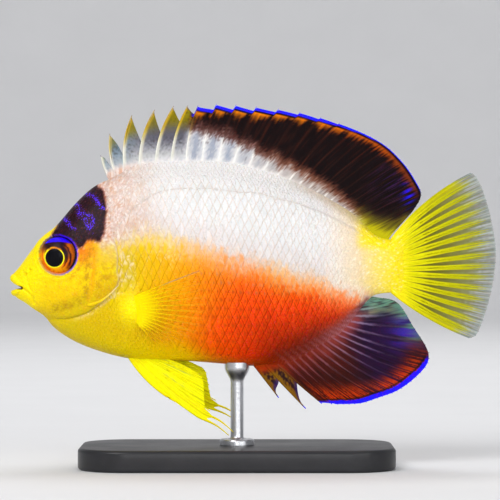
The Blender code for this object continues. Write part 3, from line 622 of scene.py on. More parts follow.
def relief(x, z):
    """How far the living skin stands out from the plain body: swells, folds, pits and rims."""
    gill, side = line_distance(x, z, gill_line)
    ahead = smooth(gill * side, 0.15, -0.35)
    lift = COVER_SWELL * hump(x, 19.0, 5.0) * hump(z, -5.0, 5.5) * ahead
    lift -= 0.12 * hump(gill, 0.0, 0.4) * smooth(x, 6.0, 9.0)
    lift -= 0.17 * groove(x, z, PREOPERCLE, 0.32)
    lift -= 0.3 * groove(x, z, JAW_FOLD, 0.26)
    lift -= 0.18 * groove(x, z, SNOUT_FOLD, 0.24)
    lift -= 0.07 * groove(x, z, EYE_FOLD, 0.4)
    lift += 0.8 * hump(np.hypot(x - PECTORAL_BASE[0] + 0.1, (z - PECTORAL_BASE[1]) * 0.7), 0.0, 2.2)
    orbit = np.hypot(x - EYE_X, z - EYE_Z)
    lift += 0.3 * hump(orbit, ORBIT_RADIUS + 0.05, 0.22) + 0.12 * hump(orbit, ORBIT_RADIUS + 0.8, 0.35)
    lift -= 1.2 * smooth(orbit, ORBIT_RADIUS - 0.05, ORBIT_RADIUS - 0.35)
    for nx, nz, radius in NOSTRILS:
        far = np.hypot(x - nx, z - nz)
        lift += 0.09 * hump(far, radius * 1.7, radius * 0.6) - 0.5 * hump(far, 0.0, radius * 0.95)
    return lift


def skin_place(x, share, side, lift=0.0):
    """Places on the finished skin of one side."""
    point = flank_point(x, share)
    rise = relief(point[..., 0].ravel(), point[..., 2].ravel()).reshape(x.shape) + lift
    return (point + flank_normal(x, share) * rise[..., None]) * (1, side, 1)


def flank_place(x, z, side, lift=0.0):
    """Places on the finished skin given from the side, and the outward directions there."""
    step = 0.05
    y = flank(x, z)
    slope_x = (flank(x + step, z) - flank(x - step, z)) / (2 * step)
    slope_z = (flank(x, z + step) - flank(x, z - step)) / (2 * step)
    normal = unit(np.stack([-slope_x, np.ones_like(y), -slope_z], axis=-1))
    point = np.stack([x, y, z], axis=-1) + normal * (relief(x, z) + lift)[:, None]
    return point * (1, side, 1), normal * (1, side, 1)


# Markings

def eye_colour(x, z):
    """Orange iris with dark arcs, a blue crescent above, and a yellow ring round the pupil."""
    ahead, over = x - PUPIL_X, z - PUPIL_Z
    right, up = x - EYE_X, z - EYE_Z
    pupil, orbit = np.hypot(ahead, over), np.hypot(right, up)
    turn = np.degrees(np.arctan2(over, ahead))
    wobble = 0.12 * mottle(x, z, 0.7, 3.0) + 0.05 * mottle(x, z, 0.25, 3.5)
    streak = mottle(turn / 9, pupil, 1.0, 3.7)
    arcs = np.clip(hump(pupil + wobble, 2.32, 0.14) + hump(pupil + wobble, 2.95, 0.2), 0, 1)
    shade = smooth(pupil + wobble, 2.6, 2.1) * smooth(ahead, 0.9, 1.7) * smooth(over, -1.5, -0.2)
    above = smooth(turn, 168.0, 118.0) * smooth(turn, -20.0, 24.0) * smooth(pupil + 1.5 * wobble, 1.8, 2.1)
    above *= 1 - 0.8 * smooth(pupil, 2.5, 2.9) * smooth(turn, 62.0, 40.0)
    crescent = smooth(up - (2.38 - 0.06 * right**2) + 0.3 * wobble, -0.06, 0.1) * smooth(orbit, 3.3, 3.18)
    ring_colour = mix((255, 248, 24), (196, 112, 20), smooth(over, 1.2, 1.7))
    return layered(
        mix((255, 190, 6), (255, 128, 4), smooth(ahead + 0.4 * over, -0.6, 1.6)),
        ((255, 172, 4), smooth(over, -1.3, -2.2)),
        ((206, 62, 4), 0.55 * smooth(streak, -0.1, 0.6) * smooth(pupil, 2.0, 2.6)),
        ((226, 66, 2), 0.7 * hump(orbit + wobble, 2.95, 0.2) * smooth(right, -0.8, -2.0)),
        ((50, 12, 8), 0.9 * arcs * smooth(ahead, 0.2, 1.6) * smooth(over, -2.2, -0.8)),
        ((40, 12, 10), 0.75 * shade),
        ((30, 9, 22), 0.95 * above),
        # the eyeball's edge darkened towards the upper right: painted shade under the orbit's rim
        ((16, 6, 14), 0.98 * smooth(orbit, 3.14, 3.28) * smooth(right + 0.7 * up, -0.8, 1.4)),
        ((46, 14, 250), crescent),
        (ring_colour, smooth(pupil, PUPIL_RADIUS + 0.26, PUPIL_RADIUS + 0.16)),
        ((3, 3, 8), smooth(pupil, PUPIL_RADIUS + 0.05, PUPIL_RADIUS - 0.03)),
    )


def nape_colour(x, z):
    """Pinkish skin with white specks, painted highlights on its small scales."""
    return layered(
        mix(NAPE_PINK, (206, 152, 120), smooth(mottle(x, z, 0.8, 1.8), -0.2, 0.6)),
        # white specks: painted highlights on the small scales
        ((236, 227, 222), 0.75 * smooth(mottle(x, z, 0.34, 1.7), -0.15, 0.4)),
    )


def head_colour(x, z):
    """Yellow snout and cheeks, the dark patch over the nape with its violet lines, and the eye's ring."""
    blotch, fine = mottle(x, z, 1.1, 1.0), mottle(x, z, 0.35, 2.0)
    right, up = x - EYE_X, z - EYE_Z
    orbit = np.hypot(right, up)
    orange = hump(np.hypot(x - 14.2, (z - 0.4) * 0.75), 0.0, 2.7) * smooth(right, 0.0, 3.0)
    shadow = hump(orbit, 4.5, 0.5) * smooth(right, 1.0, 3.0) * smooth(z, 1.0, -3.0)
    cover = smooth(x, 15.4, 16.6) * smooth(z, 2.5, 0.5)
    far, side = line_distance(x, z, polyline(PREOPERCLE, 24))
    fold = far * side
    soft_x = x - 0.25 * z + 0.7 * blotch - 0.9 * smooth(z, 2.5, 0.0)
    soft_z = z + 0.8 * blotch + 0.8 * fine
    pale = np.maximum(smooth(soft_x, 14.8, 17.0) * smooth(soft_z, -4.4, 1.4), smooth(z, 5.0, 7.0))
    straw = smooth(z + 0.8 * blotch, 2.6, -1.0) * (0.45 + 0.4 * smooth(fine, -0.3, 0.3))
    edge = inside(x, z, np.array(MASK)) + 0.22 * blotch + 0.18 * fine
    flecks = hump(edge, -0.25, 0.35) * smooth(mottle(x, z, 0.26, 2.7), 0.2, 0.5)
    black = layered(
        mix(MASK_BLACK, (58, 22, 32), smooth(fine, 0.0, 0.6)),
        ((112, 40, 30), 0.55 * smooth(mottle(x, z, 0.22, 2.5), 0.25, 0.6)),
        ((70, 26, 96), 0.6 * stripe_strength(x, z)),
    )
    ring = smooth(orbit, ORBIT_RADIUS + 0.13, ORBIT_RADIUS + 0.03)
    # the socket between eyeball and orbit: painted shade under the upper right of the rim, orange at the
    # lower left
    gap = mix((240, 140, 24), (20, 8, 14), smooth(right + 0.7 * up, -0.8, 1.2))
    return layered(
        mix(HEAD_YELLOW, CHEEK_YELLOW, smooth(z, -3.0, -8.0) * smooth(x, 3.0, 8.0)),
        # olive under the chin: partly its own tone, partly painted shade where the chin faces down
        (CHIN_OLIVE_AND_SHADE, 0.75 * smooth(z - 0.4 * x, -11.5, -15.5)),
        ((232, 166, 16), 0.5 * smooth(blotch + 0.5 * fine, -0.2, 0.8) * smooth(x, 5.0, 12.0)),
        ((236, 128, 18), np.clip(0.95 * orange * (1 + 0.6 * blotch), 0, 1)),
        ((150, 84, 20), 0.35 * shadow * smooth(fine, -0.4, 0.4)),
        ((206, 156, 6), (0.3 + 0.6 * smooth(blotch + 0.9 * fine, -0.5, 0.8)) * cover),
        # olive along the front of the preopercle's groove: painted shade beside the crease
        ((168, 126, 10), 0.65 * hump(fold, -0.9, 0.8) * smooth(fine + blotch, -0.7, 0.6)),
        ((244, 158, 4), 0.5 * hump(fold + 0.3 * blotch, 0.2, 0.4) * smooth(z, -10.0, -6.5)),
        (mix(nape_colour(x, z), (232, 196, 60), straw), pale),
        ((120, 56, 40), 0.75 * smooth(edge, -0.5, 0.0)),
        ((238, 206, 196), 0.6 * flecks),
        (black, smooth(edge, -0.14, 0.16)),
        (ramp(np.degrees(np.arctan2(up, right)), EYE_RING), 0.94 * ring),
        (gap, 0.95 * smooth(orbit, 3.5, 3.42)),
    )


def stripe_strength(x, z):
    """How strongly the violet lines show on the dark patch, from 0 to 1."""
    strength = np.zeros(len(x))
    for stripe in MASK_STRIPES:
        strength = np.maximum(strength, hump(line_distance(x, z, polyline(stripe, 30))[0], 0.0, 0.42))
    strength *= 0.74 + 0.55 * mottle(x, z, 0.9, 20.0)
    return np.clip(strength, 0, 1) * smooth(inside(x, z, np.array(MASK)), -0.5, 0.1)


def ray_streaks(x, z):
    """The anal fin's rays carried on into the flesh above it, from 0 to 1."""
    strength = np.zeros(len(x))
    near = np.flatnonzero((x > 44.0) & (x < 70.0) & (z < belly(x) + 5.5))
    tip_x, tip_z = curves(ANAL_TIPS)
    for i in range(ANAL_SPINES + 1, ANAL_SPINES + ANAL_RAYS + 1):
        root_x = anal_root(i)
        foot = np.array((root_x, belly(root_x) + FIN_ROOT_DEPTH))
        way = unit(np.array([tip_x(i), tip_z(i)]) - foot)
        line = np.array([foot - 3.6 * way, foot + 2.6 * way])
        off = line_distance(x[near], z[near], line)[0]
        strength[near] = np.maximum(strength[near], hump(off, 0.0, 0.26))
    return strength


def body_colour(x, z, with_rays=True):
    """White above, with yellow turning to orange and dark red below, and a pale yellow tail stalk."""
    blotch, fine = mottle(x, z, 3.0, 4.0), mottle(x, z, 0.7, 5.0)
    streak, fleck = mottle(x * 2.6, z, 1.5, 6.0), mottle(x * 2.4, z, 0.8, 6.9)
    over = z - belly(x)
    depth = z - white_level(x) + 0.6 * blotch + 0.5 * fine + 0.9 * streak + 1.3 * fleck
    ahead = x + (0.5 + 0.3 * smooth(x, 33.0, 40.0)) * np.clip(-z - 5.0, 0, 9) * smooth(x, 26.0, 38.0)
    behind = 44.0 + (-z - 8.0) * (1.2 + 0.11 * (x - 44.0))
    edge_depth = 2.2 + 3.4 * smooth(x, 40.0, 30.0)
    dash = smooth(mottle(x * 1.6, z, 0.55, 6.6), 0.05, 0.5) * smooth(x, 38.0, 28.0) * hump(depth, 0.0, 3.0)
    warm = layered(
        ramp(ahead + (behind - ahead) * smooth(x, 40.0, 50.0) + 0.8 * blotch, WARM),
        ((240, 150, 96), 0.7 * smooth(x, 54.0, 63.0) * smooth(z, -13.0, -8.5)),
        (ramp(x + 0.6 * blotch, BELLY_EDGE), smooth(over, edge_depth, 0.4)),
        ((246, 222, 196), 0.75 * dash),
    )
    white = mix(WHITE, SHADED_WHITE, smooth(depth, 9.0, 3.0))
    half_way = mix(warm, mix((242, 204, 104), (240, 170, 126), smooth(x, 27.0, 37.0)), 0.5)
    upper = mix(half_way, white, smooth(depth, -0.9, 4.4))

    far, side = line_distance(x, z, gill_line)
    gill = far * side
    nape = smooth(gill, 12.0, 1.0) * smooth(z, -1.0, 3.5) * (0.8 + 0.2 * blotch)
    width = 0.6 + 2.5 * smooth(z, -9.6, -6.0)
    cream = smooth(gill + 0.5 * fine + 0.4 * blotch, width + 0.7, width - 0.7) * smooth(x, 10.0, 15.0)
    cream = cream * smooth(z + 0.8 * blotch, 1.2, -1.8)
    gold = mottle(x, z, 0.45, 5.2) + 0.4 * blotch + 0.06 * (gill - 1.5) + 0.35 * smooth(z, -9.5, -6.5)
    root = hump(np.hypot(x - PECTORAL_BASE[0] - 0.6, (z - PECTORAL_BASE[1]) * 0.8), 0.0, 2.7)

    reach = x + 5.0 * smooth(z, -0.6, 1.6) * smooth(x, 63.0, 65.5) + 0.5 * blotch + 0.5 * fine
    reach = reach - 2.0 * smooth(z, -5.5, -8.5) * smooth(x, 67.0, 65.0)
    stalk = np.maximum(smooth(reach, 56.0, 61.0) * smooth(depth, -1.5, 1.8), smooth(reach, 64.6, 68.0))
    # white specks on the stalk: painted highlights on its small scales
    tail = mix(ramp(reach, STALK), (250, 246, 232), 0.5 * smooth(mottle(x, z, 0.3, 5.5), 0.2, 0.6))

    dusky = smooth(over + 0.6 * fine, 4.2, 0.4) * smooth(x, 53.0, 61.5) * smooth(z, -9.6, -12.0)
    keel = smooth(over + 0.8 * fine, -0.2, -3.4) * smooth(x, 49.0, 54.0) * smooth(x, 67.0, 65.0)
    streaks = np.zeros_like(x)
    if with_rays:
        streaks = ray_streaks(x, z) * smooth(over + 0.7 * fine, 3.2, 0.2)
    crest = smooth(z - back(x) + 0.4 * fine, -0.9, 1.3) * smooth(x, 47.0, 54.0)
    line = line_distance(x, z, polyline(LATERAL_LINE, 60))[0]
    return layered(
        mix(warm, upper, smooth(depth, -2.4, 0.5)),
        (nape_colour(x, z), nape),
        (mix((230, 204, 150), (212, 174, 14), 0.9 * smooth(gold, -0.05, 0.4)), cream),
        ((252, 236, 4), 0.9 * root),
        # olive under the throat: partly its own tone, partly painted shade where it faces down
        ((216, 190, 4), 0.6 * smooth(x, 17.0, 11.0) * smooth(z, -11.0, -15.0)),
        (tail, stalk),
        ((160, 66, 62), 0.7 * dusky),
        (mix((62, 17, 11), (28, 11, 44), smooth(x + 0.35 * z + blotch, 53.5, 60.5)), keel),
        (mix((160, 90, 98), (190, 160, 182), smooth(x, 54.0, 64.0)), 0.5 * streaks),
        (ramp(x, CREST), 0.85 * crest),
        ((178, 164, 156), 0.3 * hump(line, 0.0, 0.2)),
    )


def skin_colour(points):
    """The markings, the same on skin, scales and flaps."""
    x, z = points[:, 0], points[:, 2]
    gill, side = line_distance(x, z, gill_line)
    return mix(body_colour(x, z), head_colour(x, z), smooth(gill * side, 0.12, -0.12))


# Materials

def new_material(name, roughness, coat=0.0):
    material = bpy.data.materials.new(name)
    material.use_nodes = True
    shader = material.node_tree.nodes["Principled BSDF"]
    shader.inputs["Roughness"].default_value = roughness
    shader.inputs["Coat Weight"].default_value = coat
    shader.inputs["Coat Roughness"].default_value = 0.15
    shader.inputs["Specular IOR Level"].default_value = 0.08
    return material, material.node_tree, shader


def node(tree, kind, values, links):
    """A new shader node with values on some inputs and other nodes' outputs linked to others."""
    made = tree.nodes.new(f"ShaderNode{kind}")
    for key, value in values.items():
        made.inputs[key].default_value = value
    for key, output in links.items():
        tree.links.new(output, made.inputs[key])
    return made


def own_places(tree):
    """The object's own coordinates, in metres."""
    return tree.nodes.new("ShaderNodeTexCoord").outputs["Object"]


def stored(tree, name):
    """The node that reads a value or colour stored on the points."""
    made = tree.nodes.new("ShaderNodeAttribute")
    made.attribute_name = name
    return made


def less(tree, first, second):
    """The first less the second, each a number or an output."""
    made = tree.nodes.new("ShaderNodeMath")
    made.operation = "SUBTRACT"
    if isinstance(first, float):
        made.inputs[0].default_value = first
    else:
        tree.links.new(first, made.inputs[0])
    tree.links.new(second, made.inputs[1])
    return made.outputs["Value"]


def noise_node(tree, scale, detail=3.0, roughness=0.55):
    values = {"Scale": scale, "Detail": detail, "Roughness": roughness}
    return node(tree, "TexNoise", values, {"Vector": own_places(tree)}).outputs["Fac"]


def cell_node(tree, scale):
    return node(tree, "TexVoronoi", {"Scale": scale}, {"Vector": own_places(tree)}).outputs["Distance"]


def between(tree, value, low, high, from_low=0.25, from_high=0.75):
    """A value spread between two numbers."""
    values = {"From Min": from_low, "From Max": from_high, "To Min": low, "To Max": high}
    return node(tree, "MapRange", values, {"Value": value}).outputs["Result"]


def two_tones(tree, shader, dark, light, texture):
    """A base colour that wanders between two greys."""
    tones = node(tree, "ValToRGB", {}, {"Fac": texture})
    tones.color_ramp.elements[0].color = (*dark, 1)
    tones.color_ramp.elements[1].color = (*light, 1)
    tree.links.new(tones.outputs["Color"], shader.inputs["Base Color"])


def bump(tree, shader, heights):
    """Bumps from (height output, depth in metres), laid one on another."""
    links = {}
    for height, depth in heights:
        made = node(tree, "Bump", {"Distance": depth}, {"Height": height, **links})
        links = {"Normal": made.outputs["Normal"]}
    tree.links.new(links["Normal"], shader.inputs["Normal"])


def toned(tree, shader, variation, low, high):
    """The stored markings, made lighter, darker, redder and greener by textures."""
    links = {
        "Color": stored(tree, "tone").outputs["Color"],
        "Value": between(tree, variation, low, high),
        "Hue": between(tree, noise_node(tree, 3600.0), 0.493, 0.507),
    }
    colour = node(tree, "HueSaturation", {}, links).outputs["Color"]
    tree.links.new(colour, shader.inputs["Base Color"])
    return colour


def speckled(tree, shader, colour, strength, speck, scale):
    """Round specks of another colour, larger where a stored strength is high."""
    cells = between(tree, cell_node(tree, scale), 0.0, 1.0, 0.1, 0.66)
    margin = less(tree, stored(tree, strength).outputs["Fac"], cells)
    mixed = tree.nodes.new("ShaderNodeMix")
    mixed.data_type = "RGBA"
    tree.links.new(between(tree, margin, 0.0, 1.0, -0.05, 0.12), mixed.inputs["Factor"])
    tree.links.new(colour, mixed.inputs["A"])
    mixed.inputs["B"].default_value = (*linear(speck), 1)
    tree.links.new(mixed.outputs["Result"], shader.inputs["Base Color"])


def soft_light(shader, weight, scale):
    """Light that goes a little way in under the surface."""
    shader.inputs["Subsurface Weight"].default_value = weight
    shader.inputs["Subsurface Scale"].default_value = scale


def skin_material():
    """Wet skin with fine granular scales on the head."""
    material, tree, shader = new_material("fish_skin", 0.45, 0.04)
    # a fine grain makes the markings lighter and darker; its light specks are painted highlights on the
    # granular skin, the rest is random tone
    colour = toned(tree, shader, noise_node(tree, 2600.0), 0.86, 1.08)
    speckled(tree, shader, colour, "stripe", STRIPE_VIOLET, 3300.0)
    tree.links.new(between(tree, noise_node(tree, 700.0), 0.34, 0.52), shader.inputs["Roughness"])
    bump(tree, shader, [(cell_node(tree, 2300.0), 0.0001), (noise_node(tree, 5200.0), 0.00003)])
    soft_light(shader, 0.12, 0.0012)
    return material


def scale_material():
    """Thin scales with a fine grain."""
    material, tree, shader = new_material("fish_scales", 0.45)
    toned(tree, shader, noise_node(tree, 1400.0), 0.94, 1.06)
    tree.links.new(between(tree, noise_node(tree, 1100.0), 0.3, 0.48), shader.inputs["Roughness"])
    bump(tree, shader, [(noise_node(tree, 6500.0), 0.00003)])
    shader.inputs["Specular IOR Level"].default_value = 0.05
    soft_light(shader, 0.1, 0.001)
    return material


def fin_material():
    """Membrane and rays with stored markings, partly see-through where the stored share says so."""
    material, tree, shader = new_material("fin_membrane", 0.4)
    toned(tree, shader, noise_node(tree, 1600.0), 0.94, 1.05)
    tree.links.new(less(tree, 1.0, stored(tree, "clear").outputs["Fac"]), shader.inputs["Alpha"])
    bump(tree, shader, [(noise_node(tree, 4200.0), 0.00004)])
    shader.inputs["Specular IOR Level"].default_value = 0.04
    soft_light(shader, 0.08, 0.0015)
    return material


def eye_material():
    """Iris and pupil under a wet, glassy coat."""
    material, tree, shader = new_material("iris", 0.45, 0.16)
    shader.inputs["Coat Roughness"].default_value = 0.04
    shader.inputs["Coat IOR"].default_value = 1.25
    toned(tree, shader, noise_node(tree, 2600.0, 5.0), 0.84, 1.1)
    bump(tree, shader, [(noise_node(tree, 3400.0, 4.0), 0.00004)])
    return material


def plate_material():
    """Satin black plate, very slightly uneven."""
    material, tree, shader = new_material("stand_satin_black", 0.42, 0.2)
    two_tones(tree, shader, (0.018, 0.018, 0.02), (0.034, 0.034, 0.037), noise_node(tree, 180.0, 6.0))
    tree.links.new(between(tree, noise_node(tree, 90.0, 5.0), 0.34, 0.5), shader.inputs["Roughness"])
    bump(tree, shader, [(noise_node(tree, 2600.0), 0.00002)])
    return material


def steel_material():
    """Turned steel with fine rings round the rod."""
    material, tree, shader = new_material("stand_turned_steel", 0.3)
    shader.inputs["Specular IOR Level"].default_value = 0.5
    shader.inputs["Metallic"].default_value = 1.0
    waves = node(tree, "TexWave", {"Scale": 1400.0, "Distortion": 2.0}, {"Vector": own_places(tree)})
    waves.bands_direction = "Z"
    rings = waves.outputs["Fac"]
    two_tones(tree, shader, (0.46, 0.47, 0.49), (0.6, 0.61, 0.63), noise_node(tree, 300.0))
    tree.links.new(between(tree, rings, 0.24, 0.36, 0.0, 1.0), shader.inputs["Roughness"])
    bump(tree, shader, [(rings, 0.00001)])
    return material


SKIN = skin_material()
SCALES = scale_material()
FIN = fin_material()


# Head and body skin

def lip_tube(sizes):
    """One lip, a bent tube that is thickest in front."""
    angle = np.linspace(-math.pi / 2, math.pi / 2, 33)
    behind = 1 - np.cos(angle)
    x = sizes["front"] + sizes["depth"] * behind
    path = np.stack([x, sizes["half"] * np.sin(angle), sizes["level"] + sizes["drop"] * behind], axis=1)
    radii = sizes["radius"] * (1 - LIP_TAPER * behind)
    normals = np.tile((0.0, 0.0, 1.0), (len(path), 1))
    return piece("lip", *tube_mesh(path, radii, normals, 20), None, None)


def wedge(outline, half):
    """A cutter with the given outline in the side view."""
    points = [(x, y, z) for y in (-half, half) for x, z in outline]
    return piece("wedge", points, capped_faces(2, len(outline)), None, None)


def combine(obj, other, operation):
    """Joins other to obj or cuts it away, and removes it."""
    modifier = obj.modifiers.new("combine", "BOOLEAN")
    modifier.operation = operation
    modifier.solver = "EXACT"
    modifier.object = other
    graph = bpy.context.evaluated_depsgraph_get()
    mesh = bpy.data.meshes.new_from_object(obj.evaluated_get(graph))
    obj.modifiers.clear()
    obj.data = mesh
    bpy.data.objects.remove(other)


def soften_lips(obj):
    """Rounds the creases where the lips join the face and at the rim of the mouth."""
    shape = bmesh.new()
    shape.from_mesh(obj.data)
    near = []
    for vert in shape.verts:
        x, z = vert.co.x / MM + TOTAL_LENGTH / 2, vert.co.z / MM - AXIS_HEIGHT
        if x < 3.4 and -10.0 < z < -3.0:
            near.append(vert)
    axes = {"use_axis_x": True, "use_axis_y": True, "use_axis_z": True}
    for _ in range(4):
        bmesh.ops.smooth_vert(shape, verts=near, factor=0.5, **axes)
    shape.to_mesh(obj.data)
    shape.free()


def make_skin():
    """One skin over the head, jaw, gill covers, torso and tail stalk, with the lips joined to it."""
    xs, shares = np.meshgrid(station_xs, np.linspace(0, 1, SHARES), indexing="ij")
    right = skin_place(xs, shares, 1)
    left = right * (1, -1, 1)
    right[:, (0, -1), 1] = 0.0
    rings = np.concatenate([right, left[:, -2:0:-1]], axis=1)
    faces = capped_faces(STATIONS, rings.shape[1])
    flesh = ("head", "lower_jaw", "gill_cover_left", "gill_cover_right", "torso", "tail_stalk")
    skin = piece("skin", rings.reshape(-1, 3), faces, "flank_orange", None, flesh)
    combine(skin, lip_tube(UPPER_LIP), "UNION")
    combine(skin, lip_tube(LOWER_LIP), "UNION")
    combine(skin, wedge(MOUTH_GAP, 4.0), "DIFFERENCE")
    soften_lips(skin)
    skin.data.materials.clear()
    skin.data.materials.append(SKIN)
    skin.data.shade_smooth()
    places = fish_places(skin)
    slit = line_distance(places[:, 0], places[:, 2], np.array(MOUTH_SLIT))[0]
    # the mouth's slit painted dark brown: painted shade deep between the lips
    paint(skin, mix(skin_colour(places), (52, 16, 8), 0.9 * smooth(slit, 0.42, 0.2)))
    store(skin, "stripe", stripe_strength(places[:, 0], places[:, 2]))


def make_gill_flap(word, side):
    """The gill cover's free rear edge, which overlaps the flank behind it."""
    steps, rows = 90, 16
    edge = polyline(FLAP_EDGE, steps)
    along = unit(np.gradient(edge, axis=0))
    forward = np.stack([along[:, 1], -along[:, 0]], axis=1)
    share = np.linspace(0, 1, rows)
    ends = np.sin(math.pi * np.linspace(0, 1, steps)) ** 0.5
    flat = edge[:, None, :] + forward[:, None, :] * (FLAP_DEPTH * (1 - share))[None, :, None]
    rise = (FLAP_LIFT + FLAP_SINK) * smooth(share, 0.0, 0.8) - 0.1 * smooth(share, 0.88, 1.0)
    x, z = flat[..., 0].ravel(), flat[..., 1].ravel()
    top, normal = flank_place(x, z, side, (rise[None] * ends[:, None]).ravel() - FLAP_SINK)
    thin = np.tile(0.22 - 0.1 * smooth(share, 0.6, 1.0), steps)
    points = np.vstack([top, top - normal * thin[:, None]])
    flap = piece(f"gill_flap_{word}", points, slab_faces(steps, rows), "head_yellow", SKIN)
    rim = np.tile(smooth(share, 0.9, 1.0), steps) * smooth(z, -12.5, -9.0) * smooth(z, 2.5, 1.0)
    colours = mix(head_colour(x, z), (238, 214, 186), 0.7 * rim)
    paint(flap, np.vstack([colours, colours]))


def make_cheek_spine(word, side):
    """The long spine at the corner of the cheek."""
    t = np.linspace(0, 1, 26)
    root, tip = np.array(CHEEK_SPINE_ROOT), np.array(CHEEK_SPINE_TIP)
    flat = root + (tip - root) * t[:, None]
    flat[:, 1] -= 0.75 * np.sin(math.pi * t)
    path, normals = flank_place(flat[:, 0], flat[:, 1], side, 0.22 + 0.32 * t)
    points, faces = tube_mesh(path, CHEEK_SPINE_RADIUS * (1 - 0.88 * t**1.3), normals, 12, 0.8)
    spine = piece(f"cheek_spine_{word}", points, faces, "head_yellow", SKIN)
    shade = np.clip((points[:, 0] - root[0]) / (tip[0] - root[0]), 0, 1)
    paint(spine, mix((244, 204, 12), (238, 216, 170), smooth(shade, 0.3, 1.0)))


# Scales

def scale_pitch(x):
    """Length of a scale's free part, which shrinks where the body narrows."""
    return SCALE_PITCH * (girth(x) / section_girths.max()) ** 0.85


def fine_scaled(x, z):
    """1 where the scales are small: breast, nape, tail stalk, the fin bases and the belly's edge."""
    breast = smooth(z + 0.55 * x, 2.6, 0.6) * smooth(x, 31.0, 28.0)
    nape = smooth(x - 0.3 * z, 19.4, 18.2) * smooth(z, 1.0, 2.5)
    edges = np.maximum(smooth(back(x) - z, 2.6, 2.2), smooth(z - belly(x), 2.4, 2.0))
    return np.maximum.reduce([breast, nape, edges, smooth(x, 60.5, 61.5)])


def scale_sites(fine):
    """Roots of the scales as (x, share), in rows that are staggered by half a scale.

    The fine scales are half the size of the others and take their places where fine_scaled says so.
    """
    columns = [SCALE_FIRST_X]
    while columns[-1] < SCALE_LAST_X:
        columns.append(columns[-1] + float(scale_pitch(columns[-1])) * (0.5 if fine else 1.0))
    columns = np.array(columns)
    middles = (columns[:-1] + columns[1:]) / 2
    rows = SCALE_ROWS * 2 if fine else SCALE_ROWS
    sites = []
    for row in range(rows):
        sites += [(x, (row + 0.5) / rows) for x in (middles if row % 2 else columns)]
    sites = np.array(sites)
    places = flank_point(sites[:, 0], sites[:, 1])
    x, z = places[:, 0], places[:, 2]
    gill, side = line_distance(x, z, gill_line)
    keep = (gill * side > -0.35) & (sites[:, 0] < SCALE_LAST_X)
    from_fin = np.hypot(x - SCALES_CLEAR_OF[0], (z - SCALES_CLEAR_OF[1]) * 0.66)
    keep &= from_fin > (2.4 if fine else 3.0)
    small = fine_scaled(x, z)
    return sites[keep & ((small > 0.3) if fine else (small < 0.7))]


def scale_shape(fine):
    """One scale's grid as its place across and along, its place behind the root and its width."""
    across = np.linspace(-1, 1, 5 if fine else 7)
    along = np.array([0.0, 0.7, 1.0] if fine else [0.0, 0.4, 0.64, 0.86, 1.0])
    b, t = [g.ravel() for g in np.meshgrid(across, along, indexing="ij")]
    a = -0.8 + (0.53 * (1 - np.abs(b)) ** 0.8 + 0.8) * t
    return b, t, a, 0.7 + 0.36 * smooth(t, 0.0, 0.6), slab_faces(len(across), len(along))


def scale_colour(x, z, b, t, big):
    """Darker free edges and small spots on the warm scales, and blush edges on the white ones."""
    over = z - white_level(x)
    warm, red, edge = smooth(over, 1.0, -3.0), smooth(x, 30.0, 40.0), smooth(t, 0.84, 1.0) * big
    spot = hump(t, 0.64, 0.2) * hump(b, 0.0, 0.3) * warm * big
    spot *= smooth(x, 29.0, 38.0) * smooth(z - belly(x), 1.5, 4.0)
    dusk = smooth(over, -5.0, -1.5) * smooth(x, 52.0, 46.0)
    return (
        (mix((196, 150, 8), (140, 38, 4), red), (0.34 + 0.14 * red) * edge * warm),
        ((255, 218, 192), 0.5 * edge * (1 - warm) * smooth(x, 68.0, 62.0)),
        (mix((158, 54, 12), (184, 138, 136), dusk), 0.6 * spot),
    )


def make_scales(word, side, fine):
    """Thin overlapping plates over one flank, with the skin's markings."""
    random = np.random.default_rng(SEED + side + 2 * fine)
    sites = scale_sites(fine)
    count = len(sites)
    size = 0.5 if fine else 1.0
    b, t, a, wide, one = scale_shape(fine)
    pitch = scale_pitch(sites[:, 0])[:, None] * size
    length = 1 + 0.06 * random.standard_normal((count, 1))
    x = np.clip(sites[:, :1] + a[None] * pitch * length, NOSE_X, TAIL_X)
    share = np.clip(sites[:, 1:] + b[None] * wide[None] * size / SCALE_ROWS, 0.002, 0.998)
    small = pitch / SCALE_PITCH
    lift = small * (0.2 + 0.8 * size) * (SCALE_LIFT + 0.01 * random.standard_normal((count, 1)))
    rise = -0.04 + (lift + 0.04) * (t**0.8)[None] * (1 - 0.3 * b**2)[None]
    top = skin_place(x, share, 1, rise)
    under = skin_place(x, share, 1, rise - SCALE_THICKNESS * small - 0.015)
    points = np.concatenate([top, under], axis=1) * (1, side, 1)
    stride = points.shape[1]
    faces = [tuple(n * stride + k for k in face) for n in range(count) for face in one]
    points = points.reshape(-1, 3)
    name = f"fine_scales_{word}" if fine else f"scales_{word}"
    coat = piece(name, points, faces, "flank_orange", SCALES)
    t, b = np.tile(np.concatenate([t, t]), count), np.tile(np.concatenate([b, b]), count)
    shift = np.repeat(random.standard_normal(count) * size, stride)
    x, z = points[:, 0], points[:, 2]
    moved = points + np.outer(-0.3 * shift - 0.8 * size * (hump(b, 0.0, 0.5) - 0.4), (0, 0, 1))
    colours = layered(skin_colour(moved), *scale_colour(x, z, b, t, size))
    warm = smooth(z - white_level(x), 1.0, -3.0) * smooth(x, 32.0, 40.0)
    shade = np.repeat(random.standard_normal(count), stride) * (0.008 + size * (0.004 + 0.02 * warm))
    paint(coat, colours * (1 + shade)[:, None])
    scale_uv(coat, sites, side, np.concatenate([a, a]), b[:stride])


def scale_uv(coat, sites, side, a, b):
    """A map with each scale as a small patch at its root's place on the unrolled flanks."""
    patch = 0.0014
    u0 = 0.03 + 0.94 * (sites[:, 0] - NOSE_X) / (TAIL_X - NOSE_X)
    v0 = 0.02 + 0.46 * sites[:, 1] + (0.5 if side > 0 else 0.0)
    u = (u0[:, None] + patch * a[None]).ravel()
    v = (v0[:, None] + patch * b[None]).ravel()
    corners = np.empty(len(coat.data.loops), dtype=np.int32)
    coat.data.loops.foreach_get("vertex_index", corners)
    layer = coat.data.uv_layers.new(name="OFBake")
    layer.data.foreach_set("uv", np.stack([u[corners], v[corners]], axis=1).ravel())


